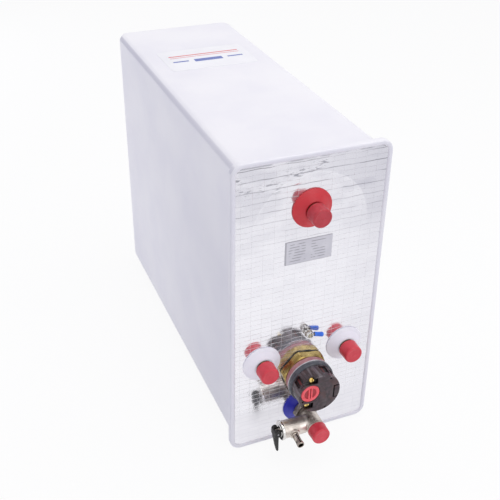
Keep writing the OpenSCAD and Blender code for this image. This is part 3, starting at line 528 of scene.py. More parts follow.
@dataclass(frozen=True)
class Cast(Finish):
    """Plated casting: satin flats with a sandy skin that shows in patches."""

    sand: float = 0.8
    sand_depth: float = 0.09
    # Colour of the painted shade towards the socket
    socket_shade: Colour = (0.11, 0.085, 0.075, 1.0)
    # Depths between which the painted shade sets in, and those where it does on a strip of the casting
    shade_back: Flat = (-30.0, -18.0)
    strip_back: Flat = (-46.0, -40.0)
    strip_across: Flat = (-8.0, 2.0)

    def sockets(self, graph: Graph) -> Sockets:
        """Sandy skin where the casting wasn't machined, and painted shade towards its socket.

        Args:
            graph: The material's graph.

        Returns:
            Values by socket name.
        """
        plain = super().sockets(graph)
        across, back, _ = graph.axes()
        # Painted shade: the casting darkens towards its socket, and the same darker tone lies on a strip at
        # its front, in mottled patches
        strip = across.within(*self.strip_across, 3.0) * back.rise(*self.strip_back)
        shade_mask = back.rise(*self.shade_back).most(strip)
        shade_mottle = graph.noise(2.5, 4).rise(0.3, 0.6) * 0.3 + 0.55
        plain["Base Color"] = graph.mix(shade_mask * shade_mottle, plain["Base Color"], self.socket_shade)
        sandy = graph.noise(9.0, 2).rise(0.42, 0.62)
        pits = graph.noise(self.sand, 4)
        plain["Roughness"] = plain["Roughness"] + sandy * 0.12
        plain["Normal"] = graph.bump(pits * sandy, self.sand_depth, plain["Normal"])
        return plain


@dataclass(frozen=True)
class Ruled(Finish):
    """Brushed plate with plain ruled rows in two columns."""

    ink: Colour = (0.12, 0.12, 0.14, 1.0)
    row: float = 3.6
    middle: float = PLATE_Z
    rule_w: float = 1.3
    rows_half: float = 13.0
    left_column: Flat = (-26.0, -5.0)
    right_column: Flat = (2.0, 20.0)
    soft: float = 0.3
    frame_half: Flat = (28.6, 14.4)
    frame_soft: float = 0.15

    def sockets(self, graph: Graph) -> Sockets:
        """Rows of broken rules between plain margins.

        Args:
            graph: The material's graph.

        Returns:
            Values by socket name.
        """
        plain = super().sockets(graph)
        across, _, up = graph.axes()
        rows = up.line(self.row, self.middle, self.rule_w)
        rows = rows * up.within(self.middle - self.rows_half, self.middle + self.rows_half, self.soft)
        columns = across.within(*self.left_column, self.soft)
        columns = columns.most(across.within(*self.right_column, self.soft))
        broken = graph.noise(3.0, 2, (0.5, 1.0, 0.28)).rise(0.4, 0.52)
        ruled = rows * columns * broken
        half_w, half_h = self.frame_half
        inside = across.within(-half_w, half_w, self.frame_soft)
        inside = inside * up.within(self.middle - half_h, self.middle + half_h, self.frame_soft)
        ink = (ruled * 0.75).most((1 - inside) * 0.35)
        plain["Base Color"] = graph.mix(ink, plain["Base Color"], self.ink)
        plain["Roughness"] = plain["Roughness"] + ink * 0.3
        return plain


@dataclass(frozen=True)
class Sticker(Finish):
    """White sticker with plain red stripes, a blue bar and two blue dashes."""

    red: Colour = (0.68, 0.12, 0.13, 1.0)
    blue: Colour = (0.13, 0.18, 0.48, 1.0)
    middle: float = STICKER_Y
    reach: float = 50.0
    soft: float = 0.3
    # Where each mark starts and ends, counted back from the sticker's middle
    stripe: Flat = (14.0, 17.0)
    hair: Flat = (8.5, 10.0)
    dashes: Flat = (-8.0, -4.0)
    bar: Flat = (-12.0, -2.0)
    dash_from: float = 28.0
    bar_half: float = 20.0

    def band(self, back: Value, mark: Flat, soft: float) -> Value:
        """1 where a mark lies, counted back from the sticker's middle, and 0 elsewhere."""
        return back.within(self.middle + mark[0], self.middle + mark[1], soft)

    def sockets(self, graph: Graph) -> Sockets:
        """Stripes printed across the sticker.

        Args:
            graph: The material's graph.

        Returns:
            Values by socket name.
        """
        plain = super().sockets(graph)
        across, back, _ = graph.axes()
        wear_and_sheen = graph.noise(1.4, 3).rise(0.18, 0.4)
        wide = across.within(-self.reach, self.reach, self.soft)
        stripe = wide * self.band(back, self.stripe, self.soft)
        hair = wide * self.band(back, self.hair, 0.2)
        dashes = abs(across).within(self.dash_from, self.reach, self.soft)
        dashes = dashes * self.band(back, self.dashes, self.soft)
        bar = across.within(-self.bar_half, self.bar_half, self.soft)
        bar = bar * self.band(back, self.bar, self.soft)
        red = graph.mix(stripe.most(hair) * wear_and_sheen, plain["Base Color"], self.red)
        plain["Base Color"] = graph.mix(dashes.most(bar) * wear_and_sheen, red, self.blue)
        return plain


@dataclass(frozen=True)
class Phenolic(Finish):
    """Dark moulding compound with brown flecks, a slate rear ring, pale streaks of painted sheen on its side
    and painted shade that blackens the hollows behind its face.
    """

    fleck: Colour = (0.1, 0.03, 0.028, 1.0)
    slate: Colour = (0.06, 0.072, 0.092, 1.0)
    brown: Colour = (0.03, 0.012, 0.013, 1.0)
    # Colour of the pale streaks, a painted sheen on the case's side
    pale: Colour = (0.2, 0.17, 0.19, 1.0)
    recess_shade: Colour = (0.006, 0.004, 0.005, 1.0)
    wall_r: float = 25.4
    # Stretch of marks that run along the case's axis
    drawn: Place = (1.0, 0.14, 1.0)

    def sockets(self, graph: Graph) -> Sockets:
        """Flecks, pale streaks of painted sheen, then the ring and the painted shade in the hollows by their
        place.

        Args:
            graph: The material's graph.

        Returns:
            Values by socket name.
        """
        plain = super().sockets(graph)
        across, back, up = graph.axes()
        flecks = graph.noise(1.1, 4).rise(0.56, 0.72)
        flecks = flecks.most(graph.noise(11.0, 2).rise(0.5, 0.68))
        scuffs = graph.noise(2.4, 5, (1.0, 0.3, 1.0)).rise(0.6, 0.78)
        ring = back.rise(-RING_FRONT - 0.5, -RING_FRONT)
        off_axis = (across ** 2 + (up - ELEMENT_Z) ** 2) ** 0.5
        inner = 1 - off_axis.rise(self.wall_r, self.wall_r + 0.8)
        # Painted shade: everything more than about a millimetre behind the face, inside the case's wall,
        # turns nearly black
        deep = (back + STAT_FRONT).rise(0.5, 1.6) * inner
        streaks = graph.noise(6.5, 3, self.drawn).rise(0.42, 0.56)
        streaks = streaks * (back + STAT_FRONT).rise(0.8, 2.0) * (1 - inner)
        speckled = graph.mix(flecks * 0.5, plain["Base Color"], self.fleck)
        speckled = graph.mix(streaks * 0.6, speckled, self.brown)
        # Painted sheen: pale streaks along the case's side
        wear_and_sheen = graph.noise(5.0, 3, self.drawn).rise(0.5, 0.64) * (1 - inner) * 0.6
        speckled = graph.mix(wear_and_sheen, speckled, self.pale)
        plain["Base Color"] = graph.mix(deep, graph.mix(ring * 0.8, speckled, self.slate), self.recess_shade)
        plain["Roughness"] = plain["Roughness"] + scuffs * 0.2 + (inner - 1) * 0.12
        return plain


@dataclass(frozen=True)
class Dished(Finish):
    """Moulding with painted shade: its hollows take a darker tone below a depth in front of the flange."""

    recess_shade: Colour = (0.33, 0.012, 0.02, 1.0)
    level: float = 47.4

    def sockets(self, graph: Graph) -> Sockets:
        """Painted shade: a darker tone in the hollows.

        Args:
            graph: The material's graph.

        Returns:
            Values by socket name.
        """
        plain = super().sockets(graph)
        _, back, _ = graph.axes()
        # Painted shade below the level
        low = (back + self.level).rise(-0.2, 0.4)
        plain["Base Color"] = graph.mix(low * 0.9, plain["Base Color"], self.recess_shade)
        return plain


@dataclass(frozen=True)
class Variant(Finish):
    """A second finish of one slot, told apart by its kind."""

    kind: str = "core"

    def label(self) -> str:
        """Name apart from the slot's own finish."""
        return f"{self.slot}_{self.kind}"


@dataclass(frozen=True)
class Specked(Finish):
    """Plated metal with dark specks."""

    speck_tone: Colour = (0.02, 0.018, 0.02, 1.0)
    speck: float = 1.6

    def label(self) -> str:
        """Name apart from the plain metal of the same slot."""
        return self.slot + "_specked"

    def sockets(self, graph: Graph) -> Sockets:
        """Dark specks.

        Args:
            graph: The material's graph.

        Returns:
            Values by socket name.
        """
        plain = super().sockets(graph)
        specks = graph.noise(self.speck, 3).rise(0.5, 0.6)
        plain["Base Color"] = graph.mix(specks * 0.9, plain["Base Color"], self.speck_tone)
        plain["Roughness"] = plain["Roughness"] + specks * 0.2
        return plain


def metal(slot: str, colour: Colour, shade: Colour, roughness: float, **more: object) -> Finish:
    """A bare or plated metal finish."""
    return Finish(slot, colour, shade, roughness, metallic=1.0, **more)


CASING = Moulded(
    "white_casing", screen(241, 240, 245), screen(234, 233, 241), 0.3,
    patch=90, grain=0.9, depth=0.006, wear=0.06,
)
FOIL = Foil("foil", screen(247, 246, 251), screen(170, 169, 184), 0.08, metallic=0.9)
FOAM = Finish("foam", screen(226, 208, 160), screen(205, 184, 132), 0.85, patch=12, grain=1.2, depth=0.4)
TANK = metal(
    "tank_steel", screen(190, 190, 194), screen(168, 168, 174), 0.32, grain=0.4, stretch=(1, 0.1, 1)
)
# The darker second colour in patches is a painted reflection of dark surroundings
BRASS = metal("brass", screen(204, 181, 118), screen(136, 113, 64), 0.2, patch=12, grain=0.5, depth=0.02)
RED_COLLAR = Finish("red_collar", screen(214, 46, 58), screen(204, 40, 52), 0.36, depth=0.01)
RED_CAP = Finish("red_cap", screen(224, 64, 80), screen(212, 56, 70), 0.36, patch=9, depth=0.012, milky=0.1)
# Painted shade: a darker copy of the caps' red for the hot cap alone
HOT_CAP = Variant(
    "red_cap", screen(198, 57, 71), screen(186, 50, 62), 0.4, patch=7, depth=0.012, milky=0.1, kind="hot"
)
# The collars' glow is painted light that stands in for light shining through them
WHITE_COLLAR = Finish(
    "white_collar", screen(240, 239, 247), screen(236, 235, 244), 0.5, depth=0.01, milky=0.3, glow=0.09
)
BLUE_COLLAR = Finish("blue_collar", screen(50, 54, 198), screen(44, 47, 180), 0.36, depth=0.01)
RUBBER = Finish("black_rubber", screen(42, 40, 42), screen(32, 31, 33), 0.55, grain=0.4, depth=0.04)
SHEATH = metal("element_sheath", screen(150, 128, 104), screen(110, 96, 84), 0.4, grain=0.5)
SILICONE = Finish(
    "pink_silicone", screen(190, 137, 142), screen(176, 120, 126), 0.42, patch=6, depth=0.02, milky=0.15
)
PLATE = metal("grey_plate", screen(214, 214, 218), screen(190, 190, 196), 0.3, grain=0.4)
PHENOLIC = Phenolic(
    "phenolic", screen(76, 60, 67), screen(48, 38, 44), 0.34, patch=4.5, grain=0.6, depth=0.08
)
CORE = Variant("phenolic", screen(112, 44, 42), screen(84, 34, 34), 0.4, patch=4, grain=0.5, depth=0.04)
SCREW = metal(
    "terminal_brass", screen(244, 218, 140), screen(222, 190, 104), 0.22, patch=2, grain=0.3, depth=0.01
)
DIAL = Dished("red_dial", screen(252, 100, 109), screen(240, 82, 91), 0.42, patch=5, grain=1.4, depth=0.006)
NICKEL = Cast(
    "nickel", screen(222, 214, 208), screen(198, 190, 183), 0.36, metallic=1.0, patch=9, depth=0.015
)
SPOUT = metal(
    "bright_nickel", screen(188, 178, 170), screen(140, 130, 124), 0.14, patch=5, grain=0.4, depth=0.006
)
CHROME = metal("chrome", screen(228, 226, 224), screen(212, 209, 206), 0.08, patch=6, grain=0.5, depth=0.004)
EARTH = Specked(
    "bright_nickel", screen(226, 224, 222), screen(200, 196, 192), 0.12, metallic=1.0, grain=0.4, depth=0.006
)
STUD = Specked("terminal_brass", screen(206, 198, 176), screen(160, 150, 126), 0.2, metallic=1.0, grain=0.4)
# Painted shade: a darker copy of the brass for the threads that lie in the caps' shade
THREAD = Specked("brass", screen(132, 102, 64), screen(76, 56, 38), 0.34, metallic=1.0, patch=4, grain=0.5)
SPRING = metal("spring_steel", screen(176, 176, 180), screen(150, 150, 156), 0.28, grain=0.3)
LEVER = Finish("black_plastic", screen(13, 13, 16), screen(8, 8, 10), 0.5, patch=5, grain=0.5, depth=0.05)
NYLON = Finish("white_nylon", screen(236, 236, 230), screen(224, 224, 216), 0.45, milky=0.2)
VINYL = Finish(
    "blue_vinyl", screen(56, 124, 240), screen(44, 104, 224), 0.35, patch=4, depth=0.02, milky=0.1
)
RATING = Ruled("silver_label", screen(220, 219, 226), screen(210, 209, 217), 0.4, metallic=0.3, depth=0.006)
STICKER = Sticker("white_label", screen(243, 243, 247), screen(238, 238, 243), 0.42, depth=0.004, patch=40)
FINISHES = {
    finish.slot: finish
    for finish in (
        CASING, FOIL, FOAM, TANK, BRASS, RED_COLLAR, RED_CAP, WHITE_COLLAR, BLUE_COLLAR, RUBBER, SHEATH,
        SILICONE, PLATE, PHENOLIC, SCREW, DIAL, NICKEL, SPOUT, CHROME, SPRING, LEVER, NYLON, VINYL,
        RATING, STICKER,
    )
}


def rounded(corners: Sequence[Flat], radius: float, closed: bool = False, steps: int = 4) -> list[Flat]:
    """Rounds the corners of a section.

    Args:
        corners: Its corners in order.
        radius: How far from a corner the rounding starts, at most.
        closed: Whether the last corner joins the first.
        steps: Points per rounding.

    Returns:
        The section's points.
    """
    points: list[Flat] = []
    for place, corner in enumerate(corners):
        if not closed and place in (0, len(corners) - 1):
            points.append(corner)
            continue
        here = Vector(corner)
        back = Vector(corners[place - 1]) - here
        ahead = Vector(corners[(place + 1) % len(corners)]) - here
        start = here + back.normalized() * min(radius, 0.45 * back.length)
        end = here + ahead.normalized() * min(radius, 0.45 * ahead.length)
        for step in range(steps + 1):
            share = step / steps
            point = start.lerp(here, share).lerp(here.lerp(end, share), share)
            points.append((point.x, point.y))
    return points


def spaced(start: float, end: float, count: int) -> list[float]:
    """Evenly spaced values, both ends included."""
    return [start + (end - start) * step / count for step in range(count + 1)]


def seat(
    origin: Sequence[float],
    forward: Sequence[float] = (0, -1, 0),
    side: Sequence[float] = (1, 0, 0),
) -> Matrix:
    """Frame to build a piece in.

    Args:
        origin: Its origin in millimetres.
        forward: Direction of its Z axis.
        side: Direction of its X axis.

    Returns:
        The frame.
    """
    ahead = Vector(forward).normalized()
    right = Vector(side).normalized()
    turned = Matrix((right, ahead.cross(right), ahead)).transposed().to_4x4()
    return Matrix.Translation(Vector(origin)) @ turned


def thread(pitch: float, depth: float, start: float, end: float, core: float) -> Reach:
    """Radius of a screw thread.

    Args:
        pitch: Distance between ridges.
        depth: Depth of the groove between them.
        start: Where the thread starts along its axis.
        end: Where it ends.
        core: Points inside this radius are left as they are.

    Returns:
        The radius as a function of angle, plain radius and place along the axis.
    """

    def reach(angle: float, radius: float, along: float) -> float:
        """Radius of the ridge or groove at a point.

        Args:
            angle: Angle round the axis.
            radius: Radius of the plain form.
            along: Place along the axis.

        Returns:
            The radius there.
        """
        if radius < core or not start < along < end:
            return radius
        ridge = abs(2 * ((along / pitch - angle / TURN) % 1) - 1)
        fade = min(1.0, (along - start) / pitch, (end - along) / pitch)
        return radius - depth * fade * (1 - min(1.0, 1.25 * ridge))

    return reach


def hexagon(flats: float, turn: float, corner_cut: float = 0.3) -> Reach:
    """Radius of a hexagon.

    Args:
        flats: Distance between opposite flats.
        turn: Where a corner lies, in degrees.
        corner_cut: How much is taken off the corners.

    Returns:
        The radius as a function of angle, plain radius and place along the axis.
    """
    sixth = TURN / 6
    limit = flats / 2 / math.cos(sixth / 2) - corner_cut

    def reach(angle: float, radius: float, along: float) -> float:
        """Radius of the flat or corner at an angle."""
        off = (angle - math.radians(turn)) % sixth - sixth / 2
        return min(radius, limit, flats / 2 / math.cos(off))

    return reach


class Form:
    """One piece's mesh in the making, in millimetres from the flange's front plane."""

    def __init__(self) -> None:
        """Starts an empty mesh."""
        self.mesh = bmesh.new()

    def _join(self, first: Sequence[bmesh.types.BMVert], second: Sequence[bmesh.types.BMVert]) -> None:
        """Adds the faces between two rings, one of which may be a tip.

        Args:
            first: Corners of the first ring.
            second: Corners of the second ring.
        """
        count = max(len(first), len(second))
        for place in range(count):
            after = (place + 1) % count
            corners = [first[0]] if len(first) == 1 else [first[place], first[after]]
            corners += [second[0]] if len(second) == 1 else [second[after], second[place]]
            self.mesh.faces.new(corners)

    def loft(self, sections: Sequence[Sequence[Vector]], closed: bool = False) -> "Form":
        """Skins sections of equal length, with tips of one point, and caps open ends.

        Args:
            sections: Points of each section.
            closed: Whether the last section joins the first.

        Returns:
            The form.
        """
        rings = [[self.mesh.verts.new(point) for point in section] for section in sections]
        for first, second in zip(rings, rings[1:] + rings[:1] if closed else rings[1:]):
            self._join(first, second)
        if not closed:
            for ring in (rings[0][::-1], rings[-1]):
                if len(ring) > 2:
                    self.mesh.faces.new(ring)
        return self

    def lathe(
        self,
        profile: Sequence[Flat],
        place: Matrix,
        steps: int = 96,
        reach: Optional[Reach] = None,
        closed: bool = False,
    ) -> "Form":
        """Turns a profile round a frame's Z axis.

        Args:
            profile: Radius and place along the axis of each point.
            place: The frame.
            steps: Points round the axis.
            reach: Changes the radius round the axis.
            closed: Whether the profile is a loop.

        Returns:
            The form.
        """
        sections = []
        for radius, along in profile:
            if radius == 0:
                sections.append([place @ Vector((0, 0, along))])
                continue
            ring = []
            for step in range(steps):
                angle = TURN * step / steps
                out = reach(angle, radius, along) if reach else radius
                ring.append(place @ Vector((out * math.cos(angle), out * math.sin(angle), along)))
            sections.append(ring)
        return self.loft(sections, closed)

    def block(self, low: Sequence[float], high: Sequence[float], place: Optional[Matrix] = None) -> "Form":
        """Adds a box.

        Args:
            low: Its lower corner.
            high: Its upper corner.
            place: The frame that the corners are in.

        Returns:
            The form.
        """
        at = place or Matrix()
        across = ((low[0], low[2]), (high[0], low[2]), (high[0], high[2]), (low[0], high[2]))
        return self.loft([[at @ Vector((x, y, z)) for x, z in across] for y in (low[1], high[1])])

    def loose(self) -> bpy.types.Object:
        """Copies the form for a modifier to work on.

        Returns:
            The copy as an object in the scene.
        """
        bmesh.ops.recalc_face_normals(self.mesh, faces=self.mesh.faces)
        mesh = bpy.data.meshes.new("loose")
        self.mesh.to_mesh(mesh)
        made = bpy.data.objects.new("loose", mesh)
        bpy.context.scene.collection.objects.link(made)
        return made

    def reshape(self, kind: str, **settings: object) -> "Form":
        """Runs one of Blender's modifiers over the form.

        Args:
            kind: The modifier's type.
            settings: Its settings.

        Returns:
            The form.
        """
        made = self.loose()
        modifier = made.modifiers.new(kind, kind)
        for key, value in settings.items():
            setattr(modifier, key, value)
        shaped = bpy.data.meshes.new_from_object(made.evaluated_get(bpy.context.evaluated_depsgraph_get()))
        self.mesh.clear()
        self.mesh.from_mesh(shaped)
        bpy.data.meshes.remove(shaped)
        bpy.data.meshes.remove(made.data)
        return self

    def cut(self, *tools: "Form") -> "Form":
        """Takes other forms out of this one.

        Args:
            tools: The forms to take out.

        Returns:
            The form.
        """
        for tool in tools:
            made = tool.loose()
            self.reshape("BOOLEAN", operation="DIFFERENCE", solver="EXACT", object=made)
            bpy.data.meshes.remove(made.data)
        return self

    def soften(self, width: float, angle: float = 35.0, steps: int = 2) -> "Form":
        """Rounds the sharp edges.

        Args:
            width: Width of the rounding.
            angle: Edges sharper than this, in degrees, are rounded.
            steps: Faces across a rounding.

        Returns:
            The form.
        """
        bmesh.ops.remove_doubles(self.mesh, verts=self.mesh.verts, dist=0.001)
        bmesh.ops.dissolve_limit(
            self.mesh, angle_limit=math.radians(0.5), verts=self.mesh.verts, edges=self.mesh.edges
        )
        return self.reshape(
            "BEVEL", width=width, segments=steps, limit_method="ANGLE", angle_limit=math.radians(angle)
        )

    def melt(self, size: float, rounds: int) -> "Form":
        """Fuses overlapping shells into one skin with soft inner corners.

        Args:
            size: Size of the grid that the skin is drawn on.
            rounds: How many times the skin is smoothed.

        Returns:
            The form.
        """
        self.reshape("REMESH", mode="VOXEL", voxel_size=size)
        return self.reshape("SMOOTH", factor=0.5, iterations=rounds)

    def show(
        self,
        name: str,
        finish: Finish,
        body: Body = Body.ROOT,
        nodes: Sequence[str] = (),
        sharp: float = 40.0,
    ) -> bpy.types.Object:
        """Turns the form into a finished piece.

        Args:
            name: The piece's name.
            finish: Its finish.
            body: The body that it rides on.
            nodes: CAD nodes that it stands for.
            sharp: Edges above this angle in degrees stay sharp.

        Returns:
            The piece.
        """
        bmesh.ops.recalc_face_normals(self.mesh, faces=self.mesh.faces)
        to_frame = Matrix.Scale(MM, 4) @ Matrix.Translation((0, FLANGE_Y, 0))
        bmesh.ops.transform(self.mesh, matrix=to_frame, verts=self.mesh.verts)
        mesh = bpy.data.meshes.new(name)
        self.mesh.to_mesh(mesh)
        self.mesh.free()
        mesh.shade_smooth()
        mesh.set_sharp_from_angle(angle=math.radians(sharp))
        mesh.materials.append(finish.material())
        piece = bpy.data.objects.new(name, mesh)
        bpy.context.scene.collection.objects.link(piece)
        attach(piece, body.value)
        if nodes:
            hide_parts(*nodes)
        LOG.info("%s: %d faces", name, len(mesh.polygons))
        return piece


@dataclass
class Casing:
    """White moulded casing with a rounded flange round its open front."""

    width: float = 175.5
    height: float = 385.0
    depth: float = 490.0
    wall: float = 3.0
    edge_r: float = 10.0
    rear_r: float = 12.0
    side_r: float = 20.0
    lip: float = 7.5
    flange: float = 9.0
    corner_r: float = 14.0
    rim: float = 6.0
    rim_r: float = 2.4
    back_r: float = 1.0
    foot_r: float = 1.5
    skin_start: float = 6.0
    bow: float = 0.5
    bow_fade: int = 6
    bow_side: int = 16
    wave: float = 1.1
    wave_size: Place = (70.0, 120.0, 90.0)
    arc_steps: int = 8
    bend_steps: int = 12
    long_steps: int = 26
    short_steps: int = 12
    depth_steps: int = 30

    def section(self, across: float, down: float, radius: float, y: float) -> list[Vector]:
        """Rounded outline at a depth.

        Args:
            across: How far its sides are set in from the flange's edge.
            down: How far its top and bottom are set in.
            radius: Radius of its corners.
            y: The depth.

        Returns:
            Points round the outline.
        """
        half_w = self.width / 2 + self.lip - across
        half_h = self.height / 2 + self.lip - down
        middle = self.height / 2 + self.lip
        corners = ((1, 1, 0), (-1, 1, 1), (-1, -1, 2), (1, -1, 3))
        points = []
        for x_side, z_side, quarter in corners:
            for step in range(self.arc_steps + 1):
                angle = TURN / 4 * (quarter + step / self.arc_steps)
                x = x_side * (half_w - radius) + radius * math.cos(angle)
                z = z_side * (half_h - radius) + radius * math.sin(angle)
                points.append((x, z))
            long_side = quarter in (1, 3)
            count = self.long_steps if long_side else self.short_steps
            for step in range(1, count):
                run = 2 * step / count - 1
                if long_side:
                    points.append((x_side * half_w, -(run * (half_h - radius)) * z_side))
                else:
                    points.append((-(run * (half_w - radius)) * x_side, z_side * half_h))
        lift = Vector((0, 0, middle))
        return [self.bowed((x, y, z), half_w, half_h) + lift for x, z in points]

    def bulge(self, y: float) -> float:
        """How much of the walls' bow shows at a depth: none at the flange and the rear."""
        run = (y - self.flange) / (self.depth - self.side_r - self.flange)
        return math.sin(math.pi * run) if 0 < run < 1 else 0.0

    def bowed(self, point: Place, half_w: float, half_h: float) -> Vector:
        """Moves a wall's point out by the side's bow and its slight waviness.

        Args:
            point: The point, with Z counted from the casing's middle.
            half_w: Half of the casing's width there.
            half_h: Half of its height there.

        Returns:
            The moved point.
        """
        x, y, z = point
        side = abs(x) / half_w
        top = abs(z) / half_h
        ripple = Vector([value / size for value, size in zip(point, self.wave_size)])
        wave = 1 + self.wave * noise.noise(ripple)
        out = self.bow * self.bulge(y) * wave * (1 - top ** self.bow_fade) * side ** self.bow_side
        return Vector((x + math.copysign(out, x), y, z))

    @staticmethod
    def drawn_in(past: float, radius: float) -> float:
        """How far a rounded rear edge draws a wall in, past the rear by so much or before it."""
        into = max(0.0, past + radius)
        return radius - math.sqrt(max(0.0, radius ** 2 - into ** 2))

    def rear(self, inset: float, edge_r: float) -> list[list[Vector]]:
        """Sections of a skin from the flange to the rear.

        Args:
            inset: The skin's distance from the outer one.
            edge_r: Radius of its long edges.

        Returns:
            The sections from the front to the rear.
        """
        end = self.depth - inset
        radii = (self.side_r - inset, self.rear_r - inset)
        depths = spaced(self.flange + self.skin_start, end - radii[0], self.depth_steps)
        sines = [math.sin(angle) for angle in spaced(0.0, TURN / 4, self.bend_steps)[1:]]
        bends = [end - radius * (1 - sine) for radius in radii for sine in sines]
        sections = []
        for y in depths + sorted(bends):
            across, down = (self.lip + inset + self.drawn_in(y - end, radius) for radius in radii)
            sections.append(self.section(across, down, edge_r, y))
        return sections

    def build(self) -> None:
        """Carries the outline from the inner rear, round the rim, to the outer rear."""
        ledge = self.flange - self.wall
        inner = self.lip + self.wall
        arc = spaced(0.0, TURN / 4, self.arc_steps)
        rows: list[Place] = [(inner, self.edge_r - self.wall, ledge)]
        rows.append((self.rim, self.corner_r - self.rim, ledge))
        for angle in arc:
            inset = self.rim - self.rim_r * (1 - math.cos(angle))
            rows.append((inset, self.corner_r - inset, self.rim_r * (1 - math.sin(angle))))
        for angle in arc[::-1]:
            inset = self.rim_r * (1 - math.cos(angle))
            rows.append((inset, self.corner_r - inset, self.rim_r * (1 - math.sin(angle))))
        for angle in arc:
            inset = self.back_r * (1 - math.cos(angle))
            rows.append((inset, self.corner_r - inset, self.flange - self.back_r * (1 - math.sin(angle))))
        for angle in arc:
            inset = self.lip - self.foot_r * (1 - math.sin(angle))
            rows.append((inset, self.edge_r, self.flange + self.foot_r * (1 - math.cos(angle))))
        sections = self.rear(self.wall, self.edge_r - self.wall)[::-1]
        sections += [self.section(inset, inset, radius, y) for inset, radius, y in rows]
        sections += self.rear(0.0, self.edge_r)
        Form().loft(sections).show("casing_shell", CASING, nodes=["outer_casing"], sharp=50)


@dataclass
class FrontPanel:
    """Foil-faced board inside the rim, creased over the tank's end."""

    half_w: float = 89.4
    low: float = 5.85
    high: float = 394.15
    corner_r: float = 8.1
    front: float = FOIL_DEPTH
    back: float = 6.0
    cell: float = 1.6
    hole_r: float = 10.4
    boss_r: float = 27.3
    stud_r: float = 2.8
    # Height of each crease, and where it starts and ends across the panel
    creases: tuple[Place, ...] = (
        (378, -90, 40), (371, -20, 70), (364, -80, 20), (357, 10, 88), (383, 5, 85),
    )
    crease_depth: float = 0.3
    crease_w: float = 1.3
    crease_fade: float = 12.0
    crease_sway: float = 1.6
    sway_size: float = 9.0
    imprint_depth: float = 0.22
    imprint_w: float = 2.2
    imprint_step: float = 0.1
    imprint_below: float = 30.0
    imprint_fade: float = 40.0
    sag: float = 0.12
    sag_swing: float = 0.1
    sag_size: Flat = (42.0, 50.0)
    crumple: float = 0.1
    crumple_size: Flat = (12.0, 8.0)
    crumple_from: float = 250.0
    crumple_rise: float = 110.0
    # Slices of the noise for the sag, the creases and the crumple
    slices: Place = (0.3, 1.7, 5.1)
    least: float = 0.02

    def half_width(self, z: float) -> float:
        """Half of the panel's width at a height, less at its rounded corners."""
        down = max(0.0, self.corner_r - min(z - self.low, self.high - z))
        return self.half_w - self.corner_r + math.sqrt(max(0.0, self.corner_r ** 2 - down ** 2))

    def relief(self, x: float, z: float) -> float:
        """How far the foil lies behind its plane, never in front of it.

        Args:
            x: Place across the panel.
            z: Place up the panel.

        Returns:
            The depth there.
        """
        wide, high = self.sag_size
        sink = self.sag + self.sag_swing * noise.noise(Vector((x / wide, z / high, self.slices[0])))
        upper = min(1.0, max(0.0, (z - self.crumple_from) / self.crumple_rise))
        for crease, start, end in self.creases:
            if start < x < end:
                sway = noise.noise(Vector((x / self.sway_size, crease, self.slices[1])))
                off = z - crease - self.crease_sway * sway
                fade = min(1.0, (x - start) / self.crease_fade, (end - x) / self.crease_fade)
                sink += self.crease_depth * fade * math.exp(-((off / self.crease_w) ** 2))
        if z > IMPRINT_Z - self.imprint_below:
            off = math.hypot(x, z - IMPRINT_Z) - IMPRINT_R
            fade = min(1.0, (z - IMPRINT_Z + self.imprint_below) / self.imprint_fade)
            bead = self.imprint_depth * math.exp(-((off / self.imprint_w) ** 2))
            sink += fade * (bead + self.imprint_step / (1 + math.exp(-off)))
        wide, high = self.crumple_size
        crumple = 0.5 + noise.noise(Vector((x / wide, z / high, self.slices[2])))
        sink += self.crumple * upper * crumple
        return max(self.least, sink)

    def build(self) -> None:
        """Weaves the creased face, closes it behind and cuts the holes."""
        rows = spaced(self.low, self.high, round((self.high - self.low) / self.cell))
        columns = spaced(-1.0, 1.0, round(2 * self.half_w / self.cell))
        form = Form()
        grid = []
        for z in rows:
            half = self.half_width(z)
            grid.append(
                [form.mesh.verts.new((s * half, self.front + self.relief(s * half, z), z)) for s in columns]
            )
        for lower, upper in zip(grid, grid[1:]):
            for place in range(len(columns) - 1):
                form.mesh.faces.new((lower[place], lower[place + 1], upper[place + 1], upper[place]))
        right, left = [row[-1] for row in grid[1:]], [row[0] for row in grid[-2:0:-1]]
        edge = grid[0] + right + grid[-1][-2::-1] + left
        behind = [form.mesh.verts.new((vert.co.x, self.back, vert.co.z)) for vert in edge]
        for place in range(len(edge)):
            after = (place + 1) % len(edge)
            form.mesh.faces.new((edge[place], behind[place], behind[after], edge[after]))
        form.mesh.faces.new(behind)
        holes = [(0.0, HOT_Z, self.hole_r), (-COIL_X, COIL_Z, self.hole_r), (COIL_X, COIL_Z, self.hole_r)]
        holes += [(0.0, COLD_Z, self.hole_r), (0.0, ELEMENT_Z, self.boss_r), (EARTH_X, EARTH_Z, self.stud_r)]
        for x, z, radius in holes:
            drill = [(radius, -self.back - 2), (radius, -self.front + 2)]
            form.cut(Form().lathe(drill, seat((x, 0, z)), 48))
        form.show("foil_face", FOIL, nodes=["front_panel"], sharp=60)


